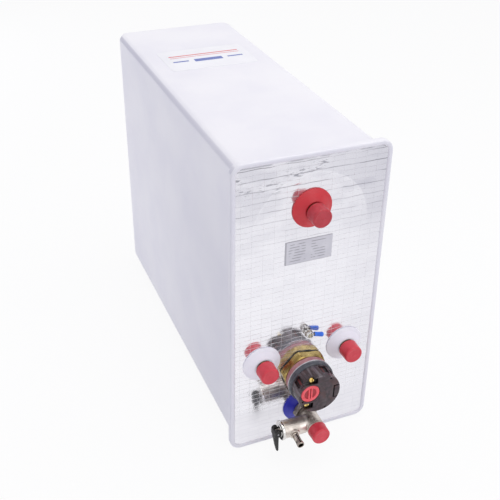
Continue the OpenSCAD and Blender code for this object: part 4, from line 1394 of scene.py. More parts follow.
@dataclass
class Port:
    """Threaded port with its coloured collar and push-on cap."""

    name: str
    x: float
    z: float
    collar: Finish
    cap_body: Body
    bore_r: float = 6.5
    thread_end: float = 23.0
    inner_end: float = -28.0
    collar_r: float = 24.0
    collar_back: float = -FOIL_DEPTH
    hub_front: float = 6.9
    land_r: float = 11.98
    shank_r: float = 10.08
    cap_r: float = 11.9
    cap_bore_r: float = 11.1
    cap_from: float = 9.8
    cap_to: float = 26.0
    cap_end_t: float = 2.6
    cap_mouth: float = 0.5
    cap_flare: float = 0.1
    cap_soft: float = 0.9
    # Cap's outline: in from its radius and forward from its mouth, then back from its end
    cap_lip: Outline = ((0.0, 0.0), (0.0, 1.6), (0.25, 2.0))
    cap_crown: Outline = ((0.45, 1.2), (1.9, 0.0), (3.2, 0.05), (4.0, 0.3))
    # Dimple in the cap's end: radius and place back from the end
    cap_dimple: Outline = ((1.6, 0.35), (1.2, 0.1), (0.0, 0.1))
    # Collar's outline: in from its radius and forward from its back
    collar_dome: Outline = ((0.5, 0.0), (0.0, 0.5), (0.0, 1.2), (4.5, 3.2))
    collar_soft: float = 0.6
    land_foot: Flat = (0.6, 0.4)
    land_in: float = 0.3
    fit: float = 0.05
    thread_gap: float = 0.3
    thread_depth: float = 1.0
    run_in: float = 0.2
    run_out: float = 1.2
    chamfer: float = 0.9
    bore_chamfer: float = 0.6
    core_t: float = 2.0
    cap_finish: Finish = RED_CAP

    def stub(self) -> None:
        """Stub with a pipe thread and an open bore."""
        start, end = self.hub_front + self.thread_gap, self.thread_end
        profile = [(self.shank_r, self.inner_end), (self.shank_r, start), (PIPE_R, start + self.fit)]
        profile += [(PIPE_R, along) for along in spaced(start + self.run_in, end - self.run_out, 90)]
        profile += [(PIPE_R - self.chamfer, end), (self.bore_r + self.bore_chamfer, end)]
        profile += [(self.bore_r, end - self.bore_chamfer), (self.bore_r, self.inner_end)]
        ridges = thread(PIPE_PITCH, self.thread_depth, start, end, self.bore_r + self.core_t)
        form = Form().lathe(profile, seat((self.x, 0, self.z)), 72, ridges, closed=True)
        form.show(f"{self.name}_thread", THREAD, nodes=[f"{self.name}_stub"], sharp=50)

    def ring(self, node: str) -> None:
        """Domed collar with a soft rim and a flat land round its hole.

        Args:
            node: The CAD node that it stands for.
        """
        hole = self.shank_r + self.fit
        back, front = self.collar_back + self.fit, self.hub_front - self.fit
        corners = [(hole, back)]
        corners += [(self.collar_r - into, back + ahead) for into, ahead in self.collar_dome]
        out, behind = self.land_foot
        corners += [(self.land_r + out, front - behind), (self.land_r - self.land_in, front), (hole, front)]
        profile = rounded(corners, self.collar_soft, closed=True)
        Form().lathe(profile, seat((self.x, 0, self.z)), 112, closed=True).show(
            f"{self.name}_ring", self.collar, nodes=[node], sharp=60
        )

    def cap(self, node: str) -> None:
        """Soft cap with a rolled mouth, a slight taper and a dished end.

        Args:
            node: The CAD node that it stands for.
        """
        start, end = self.cap_from, self.cap_to
        corners = [(self.cap_bore_r, start + self.cap_mouth), (self.cap_bore_r + self.cap_flare, start)]
        corners += [(self.cap_r - into, start + ahead) for into, ahead in self.cap_lip]
        corners += [(self.cap_r - into, end - behind) for into, behind in self.cap_crown]
        corners += [(radius, end - behind) for radius, behind in self.cap_dimple]
        outer = rounded(corners, self.cap_soft)
        inner = [(0.0, end - self.cap_end_t), (self.cap_bore_r, end - self.cap_end_t)]
        inner += [(self.cap_bore_r, start + self.cap_mouth)]
        Form().lathe(outer[:0:-1] + [outer[0]] + inner[::-1][1:], seat((self.x, 0, self.z)), 96).show(
            f"{self.name}_push_cap", self.cap_finish, self.cap_body, [node], sharp=50
        )


@dataclass
class Element:
    """Brass screw-in head of the heating element, on its gasket."""

    z: float = ELEMENT_Z
    flats: float = 55.0
    corner: float = 48.0
    foil: float = -FOIL_DEPTH
    back: float = -0.1
    front: float = HEX_FRONT
    gasket_r: float = 28.5
    thread_r: float = 20.0
    shank_end: float = -22.0
    thread_gap: float = 0.15
    fit: float = 0.02
    back_chamfer: Flat = (1.4, 0.8)
    # Chamfers in front: in from the corners and back from the front
    chamfers: Outline = ((0.0, 2.6), (1.6, 1.2), (3.2, 0.25), (3.7, 0.0))
    dish_r: Flat = (27.2, 26.9)
    dish: float = 0.35

    def build(self) -> None:
        """Gasket and chamfered hexagon head."""
        place = seat((0, 0, self.z))
        inner = self.thread_r + self.thread_gap
        back, front = self.foil + self.fit, self.back - self.fit
        ring = [(inner, back), (self.gasket_r, back), (self.gasket_r, front), (inner, front)]
        Form().lathe(rounded(ring, 0.5, closed=True), place, 128, closed=True).show(
            "element_gasket_ring", RUBBER, nodes=["element_gasket"], sharp=60
        )
        corner_r = self.flats / 2 / math.cos(TURN / 12)
        into, ahead = self.back_chamfer
        profile = [(self.thread_r, self.shank_end), (self.thread_r, self.back)]
        profile += [(corner_r - into, self.back), (corner_r, self.back + ahead)]
        profile += [(corner_r - into, self.front - behind) for into, behind in self.chamfers]
        brim_r, floor_r = self.dish_r
        profile += [(brim_r, self.front), (floor_r, self.front - self.dish)]
        profile += [(self.thread_r, self.front - self.dish)]
        Form().lathe(profile, place, 240, hexagon(self.flats, self.corner)).show(
            "element_hex", BRASS, nodes=["element_head"], sharp=28
        )


@dataclass
class Thermostat:
    """Thermostat on its silicone seal: case, terminals and temperature dial."""

    z: float = ELEMENT_Z
    seal_r: float = 28.0
    seal_w: float = 5.0
    plate_r: float = 29.0
    plate_hole_r: float = 3.85
    case_r: float = 27.0
    seal_front: float = 18.5
    plate_front: float = 19.7
    ring_front: float = RING_FRONT
    front: float = STAT_FRONT
    dial_x: float = -12.8
    dial_z: float = 108.8
    dial_r: float = 12.0
    dial_front: float = 48.0
    dial_back: float = 44.0
    spindle_hole_r: float = 3.2
    spindle_end: float = 31.6
    pocket: float = 5.2
    pocket_left: float = 12.0
    pocket_right: float = 7.0
    pocket_half: float = 4.3
    hole_r: float = 1.3
    hole_depth: float = 3.0
    groove_depth: float = 2.2
    window_half: float = 5.5
    window_depth: float = 2.5
    window_run: Flat = (2.0, 15.0)
    window_out: float = 40.0
    fit: float = 0.05
    # Seal's beads: in from its radius and forward from its back, then back from its front
    seal_rear: Outline = ((0.5, 0.0), (0.0, 1.6), (0.5, 2.6))
    seal_face: Outline = ((0.5, 2.2), (0.0, 1.2), (0.4, 0.0))
    seal_soft: float = 0.7
    chamfer: float = 0.9
    case_foot: Flat = (0.1, 0.6)
    case_soft: float = 0.6
    cut_soft: float = 0.22
    pocket_soft: float = 0.8
    recess_gap: float = 0.5
    # Screw's outline: radius and height over the pocket's floor
    screw: Outline = (
        (1.6, -6.7), (1.6, 0.1), (3.1, 0.2), (3.3, 0.7), (3.2, 1.9), (2.7, 2.6), (1.6, 2.95),
        (0.0, 3.0),
    )
    slot_half: float = 0.6
    slot_floor: float = 1.0
    slot_reach: float = 4.0
    # Dial's rim: in from its radius and back from its front
    dial_rim: Outline = ((0.0, 0.6), (0.7, 0.0), (3.9, 0.0), (4.3, 1.0))
    dial_foot: Flat = (0.4, 0.5)
    dial_soft: float = 0.5
    bar_sink: float = 0.4
    bar_soft: float = 0.4
    # Top of the dial's bar: back from the dial's front, and its share of the bar's width
    bar_top: Outline = ((0.25, 1.0), (0.02, 0.93))
    core_in: float = 2.45
    core_t: float = 1.5
    core_back: float = 27.5
    core_front: float = 41.0
    bar_half: float = 7.6
    bar_in: float = 0.8
    bar_out: float = 2.7
    # Left, bottom, right and top of each groove
    grooves: tuple[tuple[float, float, float, float], ...] = (
        (17.6, 93.5, 19.4, 112.5), (17.6, 110.7, 40.0, 112.5), (17.6, 93.5, 40.0, 94.7),
    )
    terminals: tuple[Flat, ...] = ((-10.5, 126.0), (-15.3, 89.7))
    holes: tuple[Flat, ...] = ((13.5, 124.5), (8.0, 82.0), (-22.5, 98.5))
    windows: tuple[float, ...] = (147.0, 68.0, 40.0)

    def rings(self) -> None:
        """Seal, edge of the base plate and the case's smooth rear ring."""
        place = seat((0, 0, self.z))
        seal_in = self.seal_r - self.seal_w
        back, front = HEX_FRONT + self.fit, self.seal_front - self.fit
        bead = [(seal_in, back)]
        bead += [(self.seal_r - into, back + ahead) for into, ahead in self.seal_rear]
        bead += [(self.seal_r - into, front - behind) for into, behind in self.seal_face]
        bead += [(seal_in, front)]
        Form().lathe(rounded(bead, self.seal_soft, closed=True), place, 128, closed=True).show(
            "silicone_seal", SILICONE, nodes=["thermostat_seal"], sharp=60
        )
        front = self.plate_front - self.fit
        edge = [(self.plate_hole_r, self.seal_front), (self.plate_r, self.seal_front)]
        edge += [(self.plate_r, front), (self.plate_hole_r, front)]
        Form().lathe(rounded(edge, 0.3, closed=True), place, 128, closed=True).show(
            "base_disc", PLATE, nodes=["thermostat_base"], sharp=50
        )

    def case(self) -> None:
        """Case with pockets, windows, groove, holes and the recess of the dial and its spindle cut in it."""
        place = seat((0, 0, self.z))
        corners = [(0.0, self.plate_front), (self.plate_r, self.plate_front)]
        corners += [(self.plate_r, self.ring_front - self.chamfer)]
        corners += [(self.plate_r - self.chamfer, self.ring_front)]
        start, end = (self.ring_front + ahead for ahead in self.case_foot)
        corners += [(self.case_r + self.fit, start), (self.case_r, end)]
        corners += [(self.case_r, self.front - self.chamfer)]
        corners += [(self.case_r - self.chamfer, self.front), (0.0, self.front)]
        form = Form().lathe(rounded(corners, self.case_soft, steps=2), place, 144)
        tools = []
        start, end = (self.ring_front + ahead for ahead in self.window_run)
        low = (self.case_r - self.window_depth, -self.window_half, start)
        high = (self.window_out, self.window_half, end)
        for turn in self.windows:
            tools.append(Form().block(low, high, place @ Matrix.Rotation(math.radians(turn), 4, "Z")))
        top = self.front + 3
        for left, bottom, right, upper in self.grooves:
            floor = -self.front + self.groove_depth
            tools.append(Form().block((left, -top, bottom), (right, floor, upper)))
        for x, z in self.holes:
            drill = [(self.hole_r, self.front - self.hole_depth), (self.hole_r, top)]
            tools.append(Form().lathe(drill, seat((x, 0, z)), 24))
        for x, z in self.terminals:
            low = (x - self.pocket_left, -top, z - self.pocket_half)
            high = (x + self.pocket_right, -self.front + self.pocket, z + self.pocket_half)
            tools.append(Form().block(low, high).soften(self.pocket_soft))
        dial = seat((self.dial_x, 0, self.dial_z))
        recess = self.dial_r + self.recess_gap
        tools.append(Form().lathe([(recess, self.dial_back - self.recess_gap), (recess, top)], dial, 96))
        hole = [(self.spindle_hole_r, self.spindle_end), (self.spindle_hole_r, self.dial_back)]
        tools.append(Form().lathe(hole, dial, 48))
        form.cut(*tools).soften(self.cut_soft)
        form.show("thermostat_case", PHENOLIC, nodes=["thermostat_body"], sharp=40)
        outer = self.case_r - self.core_in
        inner = outer - self.core_t
        core = [(inner, self.core_back), (outer, self.core_back)]
        core += [(outer, self.core_front), (inner, self.core_front)]
        Form().lathe(rounded(core, 0.2, closed=True), place, 96, closed=True).show(
            "thermostat_core", CORE, sharp=50
        )

    def screws(self) -> None:
        """Two slotted terminal screws."""
        floor = self.front - self.pocket
        outline = [(radius, floor + height) for radius, height in self.screw]
        form = Form()
        for x, z in self.terminals:
            screw = Form().lathe(outline, seat((x, 0, z)), 48)
            low = (x - self.slot_half, -floor - self.slot_reach, z - self.slot_reach)
            high = (x + self.slot_half, -floor - self.slot_floor, z + self.slot_reach)
            screw.cut(Form().block(low, high))
            mesh = bpy.data.meshes.new("screw")
            screw.mesh.to_mesh(mesh)
            form.mesh.from_mesh(mesh)
            bpy.data.meshes.remove(mesh)
        form.show("terminal_screw_pair", SCREW, nodes=["terminal_screws"], sharp=35)

    def dial(self) -> None:
        """Dial with a broad raised rim round a hollow that a slotted bar crosses."""
        place = seat((self.dial_x, 0, self.dial_z))
        front = self.dial_front
        into, ahead = self.dial_foot
        corners = [(0.0, self.dial_back), (self.dial_r - into, self.dial_back)]
        corners += [(self.dial_r, self.dial_back + ahead)]
        corners += [(self.dial_r - into, front - behind) for into, behind in self.dial_rim]
        floor = corners[-1][1]
        corners += [(0.0, floor)]
        Form().lathe(rounded(corners, self.dial_soft), place, 96).show(
            "dial_disc", DIAL, Body.DIAL, ["temperature_dial"], sharp=50
        )
        half = self.bar_half
        outline = [(self.bar_in, -half), (self.bar_out, -half), (self.bar_out, half), (self.bar_in, half)]
        outline = rounded(outline, self.bar_soft, closed=True)
        layers = [(floor - self.bar_sink, 1.0)] + [(front - behind, grow) for behind, grow in self.bar_top]
        bar = Form()
        for side in (-1, 1):
            bar.loft([[place @ Vector((side * u * grow, v, up)) for u, v in outline] for up, grow in layers])
        bar.show("dial_bar", DIAL, Body.DIAL, sharp=50)

    def build(self) -> None:
        """Builds every part of the thermostat."""
        self.rings()
        self.case()
        self.screws()
        self.dial()


@dataclass
class SafetyValve:
    """Cast tee with a relief barrel, bonnet, drain spout, lever and threaded inlet."""

    z: float = COLD_Z
    barrel_y: float = -31.5
    barrel_r: float = 11.2
    barrel_len: float = 40.0
    barrel_bore_r: float = 8.5
    run_r: float = 11.5
    run_bore_r: float = 7.0
    ridge_start: float = 19.0
    socket_r: float = 13.6
    socket_bore_r: float = 10.6
    boss_r: float = 6.5
    boss_end: float = 12.6
    skin: float = 0.42
    barrel_from: float = -5.0
    barrel_gap: float = 0.1
    neck_in: float = 0.6
    neck_run: Flat = (8.0, 12.0)
    run_from: float = 6.0
    root_in: float = 0.6
    socket_run: Flat = (7.3, 8.2)
    # Socket's hexagon: radius and place along the run
    socket_hex: Outline = ((15.2, 8.5), (15.6, 9.3), (15.6, 15.6), (14.6, 16.4), (0.0, 16.5))
    corner_cut: float = 0.4
    # Where each bore starts and ends along its axis
    socket_bore: Flat = (4.0, 13.5)
    run_bore: Flat = (13.0, 46.0)
    barrel_bore: Flat = (16.0, 42.0)
    ridge_depth: float = 0.75
    ridge_fade: float = 19.5
    ridge_full: float = 20.0
    ridge_run: Flat = (20.2, 42.6)
    ridge_chamfer: float = 0.8
    ridge_t: float = 2.5
    inlet_back: float = 42.8
    inlet_from: float = 43.1
    inlet_step: float = 48.5
    inlet_bore_r: float = 4.5
    inlet_mouth: Flat = (5.2, 0.7)
    inlet_chamfer: float = 0.9
    inlet_depth: float = 1.0
    inlet_core: float = 8.5
    inlet_end: float = 57.5
    shoulder: float = 43.0
    spout_x: float = -28.5
    spout_tilt: float = 4.0
    spout_reach: float = 30.5
    spout_bore: float = 3.25
    spout_mouth: Flat = (0.35, 0.5)
    spout_soft: float = 0.4
    # Spout's outline: radius and place along it, then radius and place back from its end
    spout_pipe: Outline = ((4.05, 9.1), (4.05, 12.7), (4.5, 12.75), (4.5, 13.6), (4.1, 14.6))
    spout_bead: Outline = ((4.05, 6.5), (4.15, 5.8), (4.5, 3.2), (4.5, 0.8), (4.0, 0.0))
    # Bonnet's outline: radius and place along the barrel
    bonnet: Outline = (
        (3.06, 36.0), (8.4, 36.0), (8.4, 40.0), (12.3, 40.05), (12.5, 40.5), (12.5, 42.6), (12.0, 43.3),
        (11.2, 43.45), (10.6, 42.9), (9.8, 42.7), (7.2, 42.7), (6.6, 43.2), (6.2, 43.65), (3.5, 43.65),
        (3.06, 43.2),
    )
    bonnet_soft: float = 0.35
    pin_x: float = -47.9
    pin_r: float = 1.2
    pin_bevel: Flat = (1.0, 6.5)
    pin_gap: float = 0.05
    # Lever's outlines: X from the pin and height over it, then X and height over the tip
    back_line: Outline = ((-4.1, 3.6), (-4.1, 0.0), (-4.1, -4.4), (-4.1, -7.5), (-2.9, -14.0), (-1.6, -22.0))
    back_tip: Outline = ((0.5, 1.5), (2.0, 0.1))
    face_line: Outline = (
        (1.2, 5.75), (3.2, 4.0), (3.75, 1.5), (3.8, -1.0), (3.8, -4.4), (2.4, -4.6), (2.5, -10.0),
        (2.8, -18.0), (3.2, -26.0),
    )
    face_tip: Outline = ((3.4, 1.6), (2.05, 0.1))
    crown_x: float = -1.9
    tip_gap: float = 0.1
    lever_soft: float = 0.9
    lever_skin: float = 0.3
    lever_len: float = 33.0
    lever_top: float = 5.7
    cheek_half: float = 6.75
    cheek_end: float = -4.5
    neck_half: float = 3.5
    neck_end: float = -6.0
    tip_half: float = 1.8
    slot_half: float = 2.3
    slot_back: float = 2.6
    slot_reach: float = 8.0

    def barrel(self) -> Matrix:
        """Frame along the barrel, out from the run's axis."""
        return seat((0, self.barrel_y, self.z), (-1, 0, 0), (0, -1, 0))

    def spout(self) -> Matrix:
        """Frame along the drain spout, out from the barrel's axis."""
        tilt = math.radians(self.spout_tilt)
        return seat((self.spout_x, self.barrel_y, self.z), (0, -math.cos(tilt), -math.sin(tilt)))

    def body(self) -> None:
        """Casting fused from its barrel, run, socket and boss, then bored out."""
        run = seat((0, 0, self.z))
        form = Form()
        neck_r, start, end = self.barrel_r - self.neck_in, self.barrel_from, self.barrel_len - self.barrel_gap
        neck, full = self.neck_run
        barrel = [(0.0, start), (neck_r, start), (neck_r, neck)]
        barrel += [(self.barrel_r, full), (self.barrel_r, end), (0.0, end)]
        form.lathe(rounded(barrel, 0.5), self.barrel(), 72)
        root_r, start, end = self.run_r - self.root_in, self.run_from, self.shoulder
        form.lathe([(0.0, start), (root_r, start), (root_r, end), (0.0, end)], run, 72)
        start, end = self.socket_run
        socket = [(0.0, start), (self.socket_r, start), (self.socket_r, end), *self.socket_hex]
        form.lathe(socket, run, 72, hexagon(2 * self.socket_r, 0.0, self.corner_cut))
        boss = [(0.0, 0.0), (self.boss_r, 0.0), (self.boss_r, self.boss_end), (0.0, self.boss_end)]
        form.lathe(boss, self.spout(), 48)
        form.melt(self.skin, 5)
        form.cut(
            Form().lathe([(self.socket_bore_r, end) for end in self.socket_bore], run, 64),
            Form().lathe([(self.run_bore_r, end) for end in self.run_bore], run, 48),
            Form().lathe([(self.barrel_bore_r, end) for end in self.barrel_bore], self.barrel(), 48),
        )
        form.show("valve_casting", NICKEL, nodes=["valve_body"], sharp=35)
        self.threads(run)

    def threads(self, run: Matrix) -> None:
        """Ridges on the run and the threaded inlet in front of its shoulder.

        Args:
            run: Frame along the run.
        """
        start, end = self.ridge_start, self.shoulder
        root_r = self.run_r - self.ridge_t
        crest = [(self.run_r - self.ridge_depth, start), (self.run_r, self.ridge_full)]
        crest += [(self.run_r, along) for along in spaced(*self.ridge_run, 110)]
        crest += [(self.run_r - self.ridge_chamfer, end), (root_r, end), (root_r, start)]
        ridges = thread(PIPE_PITCH, self.ridge_depth, self.ridge_fade, end, self.run_r - 1)
        Form().lathe(crest, run, 96, ridges, closed=True).show("valve_ridges", NICKEL, sharp=50)
        back, front, step = self.inlet_back, self.inlet_end, self.inlet_step
        mouth_r, mouth = self.inlet_mouth
        inlet = [(PIPE_R, back)] + [(PIPE_R, along) for along in spaced(self.inlet_from, front - 1, 80)]
        inlet += [(PIPE_R - self.inlet_chamfer, front), (mouth_r, front), (self.inlet_bore_r, front - mouth)]
        inlet += [(self.inlet_bore_r, step), (self.run_bore_r, step), (self.run_bore_r, back)]
        ridges = thread(PIPE_PITCH, self.inlet_depth, end, front, self.inlet_core)
        Form().lathe(inlet, run, 72, ridges, closed=True).show("valve_inlet", NICKEL, sharp=50)

    def fittings(self) -> None:
        """Bonnet with a beaded rim, and the drain spout with a hose bead."""
        bonnet = rounded(self.bonnet, self.bonnet_soft, closed=True)
        Form().lathe(bonnet, self.barrel(), 96, closed=True).show(
            "bonnet_cap", CHROME, nodes=["relief_bonnet"], sharp=45
        )
        end = self.spout_reach
        bore = self.spout_bore
        out, behind = self.spout_mouth
        pipe = [(bore, self.spout_pipe[0][1]), *self.spout_pipe]
        pipe += [(radius, end - back) for radius, back in self.spout_bead]
        pipe += [(bore + out, end), (bore, end - behind)]
        pipe = rounded(pipe, self.spout_soft, closed=True)
        Form().lathe(pipe, self.spout(), 64, closed=True).show(
            "drain_pipe", SPOUT, nodes=["drain_spout"], sharp=50
        )

    def half_width(self, z: float) -> float:
        """Half of the lever's width: wide cheeks, then a tapering handle.

        Args:
            z: Height above the lever's pin.

        Returns:
            Half of the width there.
        """
        if z > self.cheek_end:
            return self.cheek_half
        if z > self.neck_end:
            change = (self.neck_half - self.cheek_half) * (self.cheek_end - z)
            return self.cheek_half + change / (self.cheek_end - self.neck_end)
        change = (self.tip_half - self.neck_half) * (self.neck_end - z)
        return self.neck_half + change / (self.lever_len + self.neck_end)

    def lever(self) -> None:
        """Black lever: a fork over the stem's tongue and a tapering handle with a thumb ridge."""
        tip = -self.lever_len
        back = [(self.crown_x, self.lever_top), *self.back_line]
        back += [(x, tip + up) for x, up in self.back_tip]
        face = [*self.face_line] + [(x, tip + up) for x, up in self.face_tip]
        sections = []
        for z in spaced(tip + self.tip_gap, self.lever_top, 96):
            x_back, x_face = self.at_height(back, z), self.at_height(face, z)
            half = self.half_width(z)
            corners = [(x_back, -half), (x_face, -half), (x_face, half), (x_back, half)]
            place = Vector((self.pin_x, self.barrel_y, self.z + z))
            section = rounded(corners, self.lever_soft, True, 3)
            sections.append([place + Vector((x, y, 0)) for x, y in section])
        reach, hole_r = self.slot_reach, self.pin_r + self.pin_gap
        low = (self.pin_x - self.slot_back, self.barrel_y - self.slot_half, self.z - self.slot_back)
        high = (self.pin_x + reach, self.barrel_y + self.slot_half, self.z + reach)
        pivot = seat((self.pin_x, self.barrel_y, self.z))
        drill = Form().lathe([(hole_r, -reach), (hole_r, reach)], pivot, 24)
        form = Form().loft(sections).cut(Form().block(low, high), drill).melt(self.lever_skin, 3)
        form.show("lever_handle", LEVER, Body.LEVER, ["relief_lever"], sharp=60)
        half = self.cheek_half
        end_r, full = self.pin_bevel
        pin = [(0.0, -half), (end_r, -half), (self.pin_r, -full)]
        pin += [(self.pin_r, full), (end_r, half), (0.0, half)]
        Form().lathe(pin, pivot, 32).show("lever_pin_rod", SPRING, Body.STEM, ["lever_pin"], sharp=35)

    @staticmethod
    def at_height(line: Sequence[Flat], z: float) -> float:
        """Reads a line of points at a height.

        Args:
            line: X and height of each point, from the highest down.
            z: The height.

        Returns:
            X there.
        """
        for (x_up, z_up), (x_down, z_down) in zip(line, line[1:]):
            if z_down <= z <= z_up:
                return x_down + (x_up - x_down) * (z - z_down) / (z_up - z_down)
        return line[0][0] if z > line[0][1] else line[-1][0]

    def build(self) -> None:
        """Builds every part of the valve."""
        self.body()
        self.fittings()
        self.lever()


@dataclass
class Spring:
    """Wound spring with closed ends."""

    node: str
    joint: str
    axis: int
    fixed_side: int
    wire_r: float
    turns: float
    closed: float = 1.0
    closed_pitch: float = 2.1
    seat_gap: float = 0.3
    steps: int = 28
    sides: int = 10

    def climb(self, turn: float, half: float) -> float:
        """Place of the wire along the spring's axis after a number of turns.

        Args:
            turn: Turns from the first end.
            half: Half of the spring's length between the ends of its wire.

        Returns:
            The place, counted from the spring's middle.
        """
        shut = self.closed_pitch * self.wire_r * self.closed
        share = (turn - self.closed) / (self.turns - 2 * self.closed)
        if share < 0:
            return shut * turn / self.closed - half
        if share > 1:
            return half - shut * (self.turns - turn) / self.closed
        return (2 * share - 1) * (half - shut)

    def build(self) -> None:
        """Winds the wire where the solid is and reads the joint's travel."""
        low, high = (corner / MM - Vector((0, FLANGE_Y, 0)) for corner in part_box(self.node))
        along = Vector((0, 0, 0))
        along[self.axis] = 1
        place = seat((low + high) / 2, along, (0, 0, 1))
        length = (high - low)[self.axis]
        coil_r = (high - low).z / 2 - self.wire_r
        half = length / 2 - self.wire_r
        sections = []
        for step in range(round(self.turns * self.steps) + 1):
            turn = step / self.steps
            out = Vector((math.cos(TURN * turn), math.sin(TURN * turn), 0))
            rise = (self.climb(turn + 0.01, half) - self.climb(turn - 0.01, half)) / 0.02
            ahead = (Vector((-out.y, out.x, 0)) * (TURN * coil_r) + Vector((0, 0, rise))).normalized()
            middle = out * coil_r + Vector((0, 0, self.climb(turn, half)))
            round_wire = [TURN * side / self.sides for side in range(self.sides)]
            ring = [math.cos(angle) * out + math.sin(angle) * ahead.cross(out) for angle in round_wire]
            sections.append([place @ (middle + self.wire_r * spoke) for spoke in ring])
        piece = Form().loft(sections).show(f"{self.node}_wire", SPRING, nodes=[self.node], sharp=60)
        joint = next(joint for joint in frame["joints"] if joint["name"] == self.joint)
        travel = joint["range_m"][1] / MM
        1 - travel / (length + 2 * self.seat_gap)
        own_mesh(piece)


@dataclass
class EarthTerminal:
    """Stud with nuts and washers that hold a blue insulated ring terminal."""

    x: float = EARTH_X
    z: float = EARTH_Z
    stud_r: float = 2.5
    stud_back: float = -14.0
    stud_end: float = 10.4
    thread_from: float = -2.0
    thread_pitch: float = 0.8
    thread_depth: float = 0.32
    droop: float = 18.0
    foil: float = -FOIL_DEPTH
    ring: float = 5.1
    ring_r: float = 5.05
    ring_half: float = 0.44
    washer_r: float = 5.0
    washer_t: float = 0.93
    nut_flats: float = 8.0
    nut_turn: float = 20.0
    nut_t: float = 3.9
    nut_r: float = 4.6
    nut_face_r: float = 4.1
    # Where a nut's bevels end behind and start in front, outside and in its hole
    nut_bevels: Flat = (0.4, 3.5)
    hole_bevels: Flat = (0.35, 3.5)
    hole_bevel_w: float = 0.4
    corner_cut: float = 0.1
    # Backs of the washers and the nuts, counted from the foil and from the ring
    washer_at: Flat = (0.05, -1.45)
    nut_at: Flat = (1.05, 0.5)
    fit: float = 0.05
    thread_core: float = 1.5
    run_out: float = 0.6
    stud_chamfer: float = 0.5
    tongue_half: Flat = (0.42, 2.0)
    # Place along the tongue and share of its width there
    tongue_run: Outline = ((4.0, 1.0), (6.0, 0.9), (7.8, 0.95))
    barrel_r: float = 1.95
    barrel_from: float = 7.1
    barrel_mouth: Flat = (1.6, 8.1)
    barrel_end: float = 18.6
    # Sleeve's outline: radius and place along the barrel
    sleeve: Outline = (
        (2.05, 7.3), (2.6, 7.22), (2.75, 7.9), (2.7, 13.8), (2.88, 15.2), (2.88, 19.3), (2.5, 19.65),
        (2.05, 19.2),
    )
    soft: float = 0.4
    edge: float = 0.2

    def hardware(self, place: Matrix) -> None:
        """Stud with its two washers and two nuts.

        Args:
            place: Frame along the stud.
        """
        end = self.stud_end
        stud = [(0.0, self.stud_back), (self.stud_r, self.stud_back)]
        stud += [(self.stud_r, along) for along in spaced(self.thread_from, end - self.run_out, 90)]
        stud += [(self.stud_r - self.stud_chamfer, end), (0.0, end)]
        ridges = thread(self.thread_pitch, self.thread_depth, self.thread_from, end, self.thread_core)
        Form().lathe(stud, place, 40, ridges).show("earth_bolt", STUD, nodes=["earth_stud"], sharp=50)
        form = Form()
        hole, rim = self.stud_r + self.fit, self.washer_r
        for plane, ahead in zip((self.foil, self.ring), self.washer_at):
            back = plane + ahead
            front = back + self.washer_t
            washer = [(hole, back), (rim, back), (rim, front), (hole, front)]
            form.lathe(rounded(washer, self.edge, closed=True), place, 48, closed=True)
        mouth, face_r, rim = hole + self.hole_bevel_w, self.nut_face_r, self.nut_r
        for plane, ahead in zip((self.foil, self.ring), self.nut_at):
            back = plane + ahead
            front = back + self.nut_t
            low, high = (back + along for along in self.nut_bevels)
            hole_low, hole_high = (back + along for along in self.hole_bevels)
            nut = [(hole, hole_low), (mouth, back), (face_r, back), (rim, low)]
            nut += [(rim, high), (face_r, front), (mouth, front), (hole, hole_high)]
            six = hexagon(self.nut_flats, self.nut_turn, self.corner_cut)
            form.lathe(nut, place, 72, six, closed=True)
        form.show("earth_hardware", EARTH, nodes=["earth_nuts"], sharp=30)

    def build(self) -> None:
        """Stud, nuts, ring and sleeve."""
        place = seat((self.x, 0, self.z))
        self.hardware(place)
        tilt = math.radians(self.droop)
        along = seat((self.x, -self.ring, self.z), (math.cos(tilt), 0, -math.sin(tilt)), (0, -1, 0))
        low, high = self.ring - self.ring_half, self.ring + self.ring_half
        hole = self.stud_r + self.fit
        eye = [(hole, low), (self.ring_r, low), (self.ring_r, high), (hole, high)]
        tongue = Form().lathe(rounded(eye, self.edge, closed=True), place, 56, closed=True)
        thin, wide = self.tongue_half
        outline = [(-thin, -wide), (thin, -wide), (thin, wide), (-thin, wide)]
        tongue.loft([[along @ Vector((u, v * grow, up)) for u, v in outline] for up, grow in self.tongue_run])
        start, end = self.barrel_from, self.barrel_end
        mouth_r, full = self.barrel_mouth
        barrel = [(0.0, start), (mouth_r, start), (self.barrel_r, full), (self.barrel_r, end), (0.0, end)]
        tongue.lathe(rounded(barrel, self.soft), along, 40)
        tongue.show("earth_lug", SPOUT, nodes=["earth_ring_terminal"], sharp=35)
        sleeve = rounded(self.sleeve, self.soft, closed=True)
        Form().lathe(sleeve, along, 48, closed=True).show(
            "terminal_sleeve", VINYL, nodes=["earth_sleeve"], sharp=50
        )


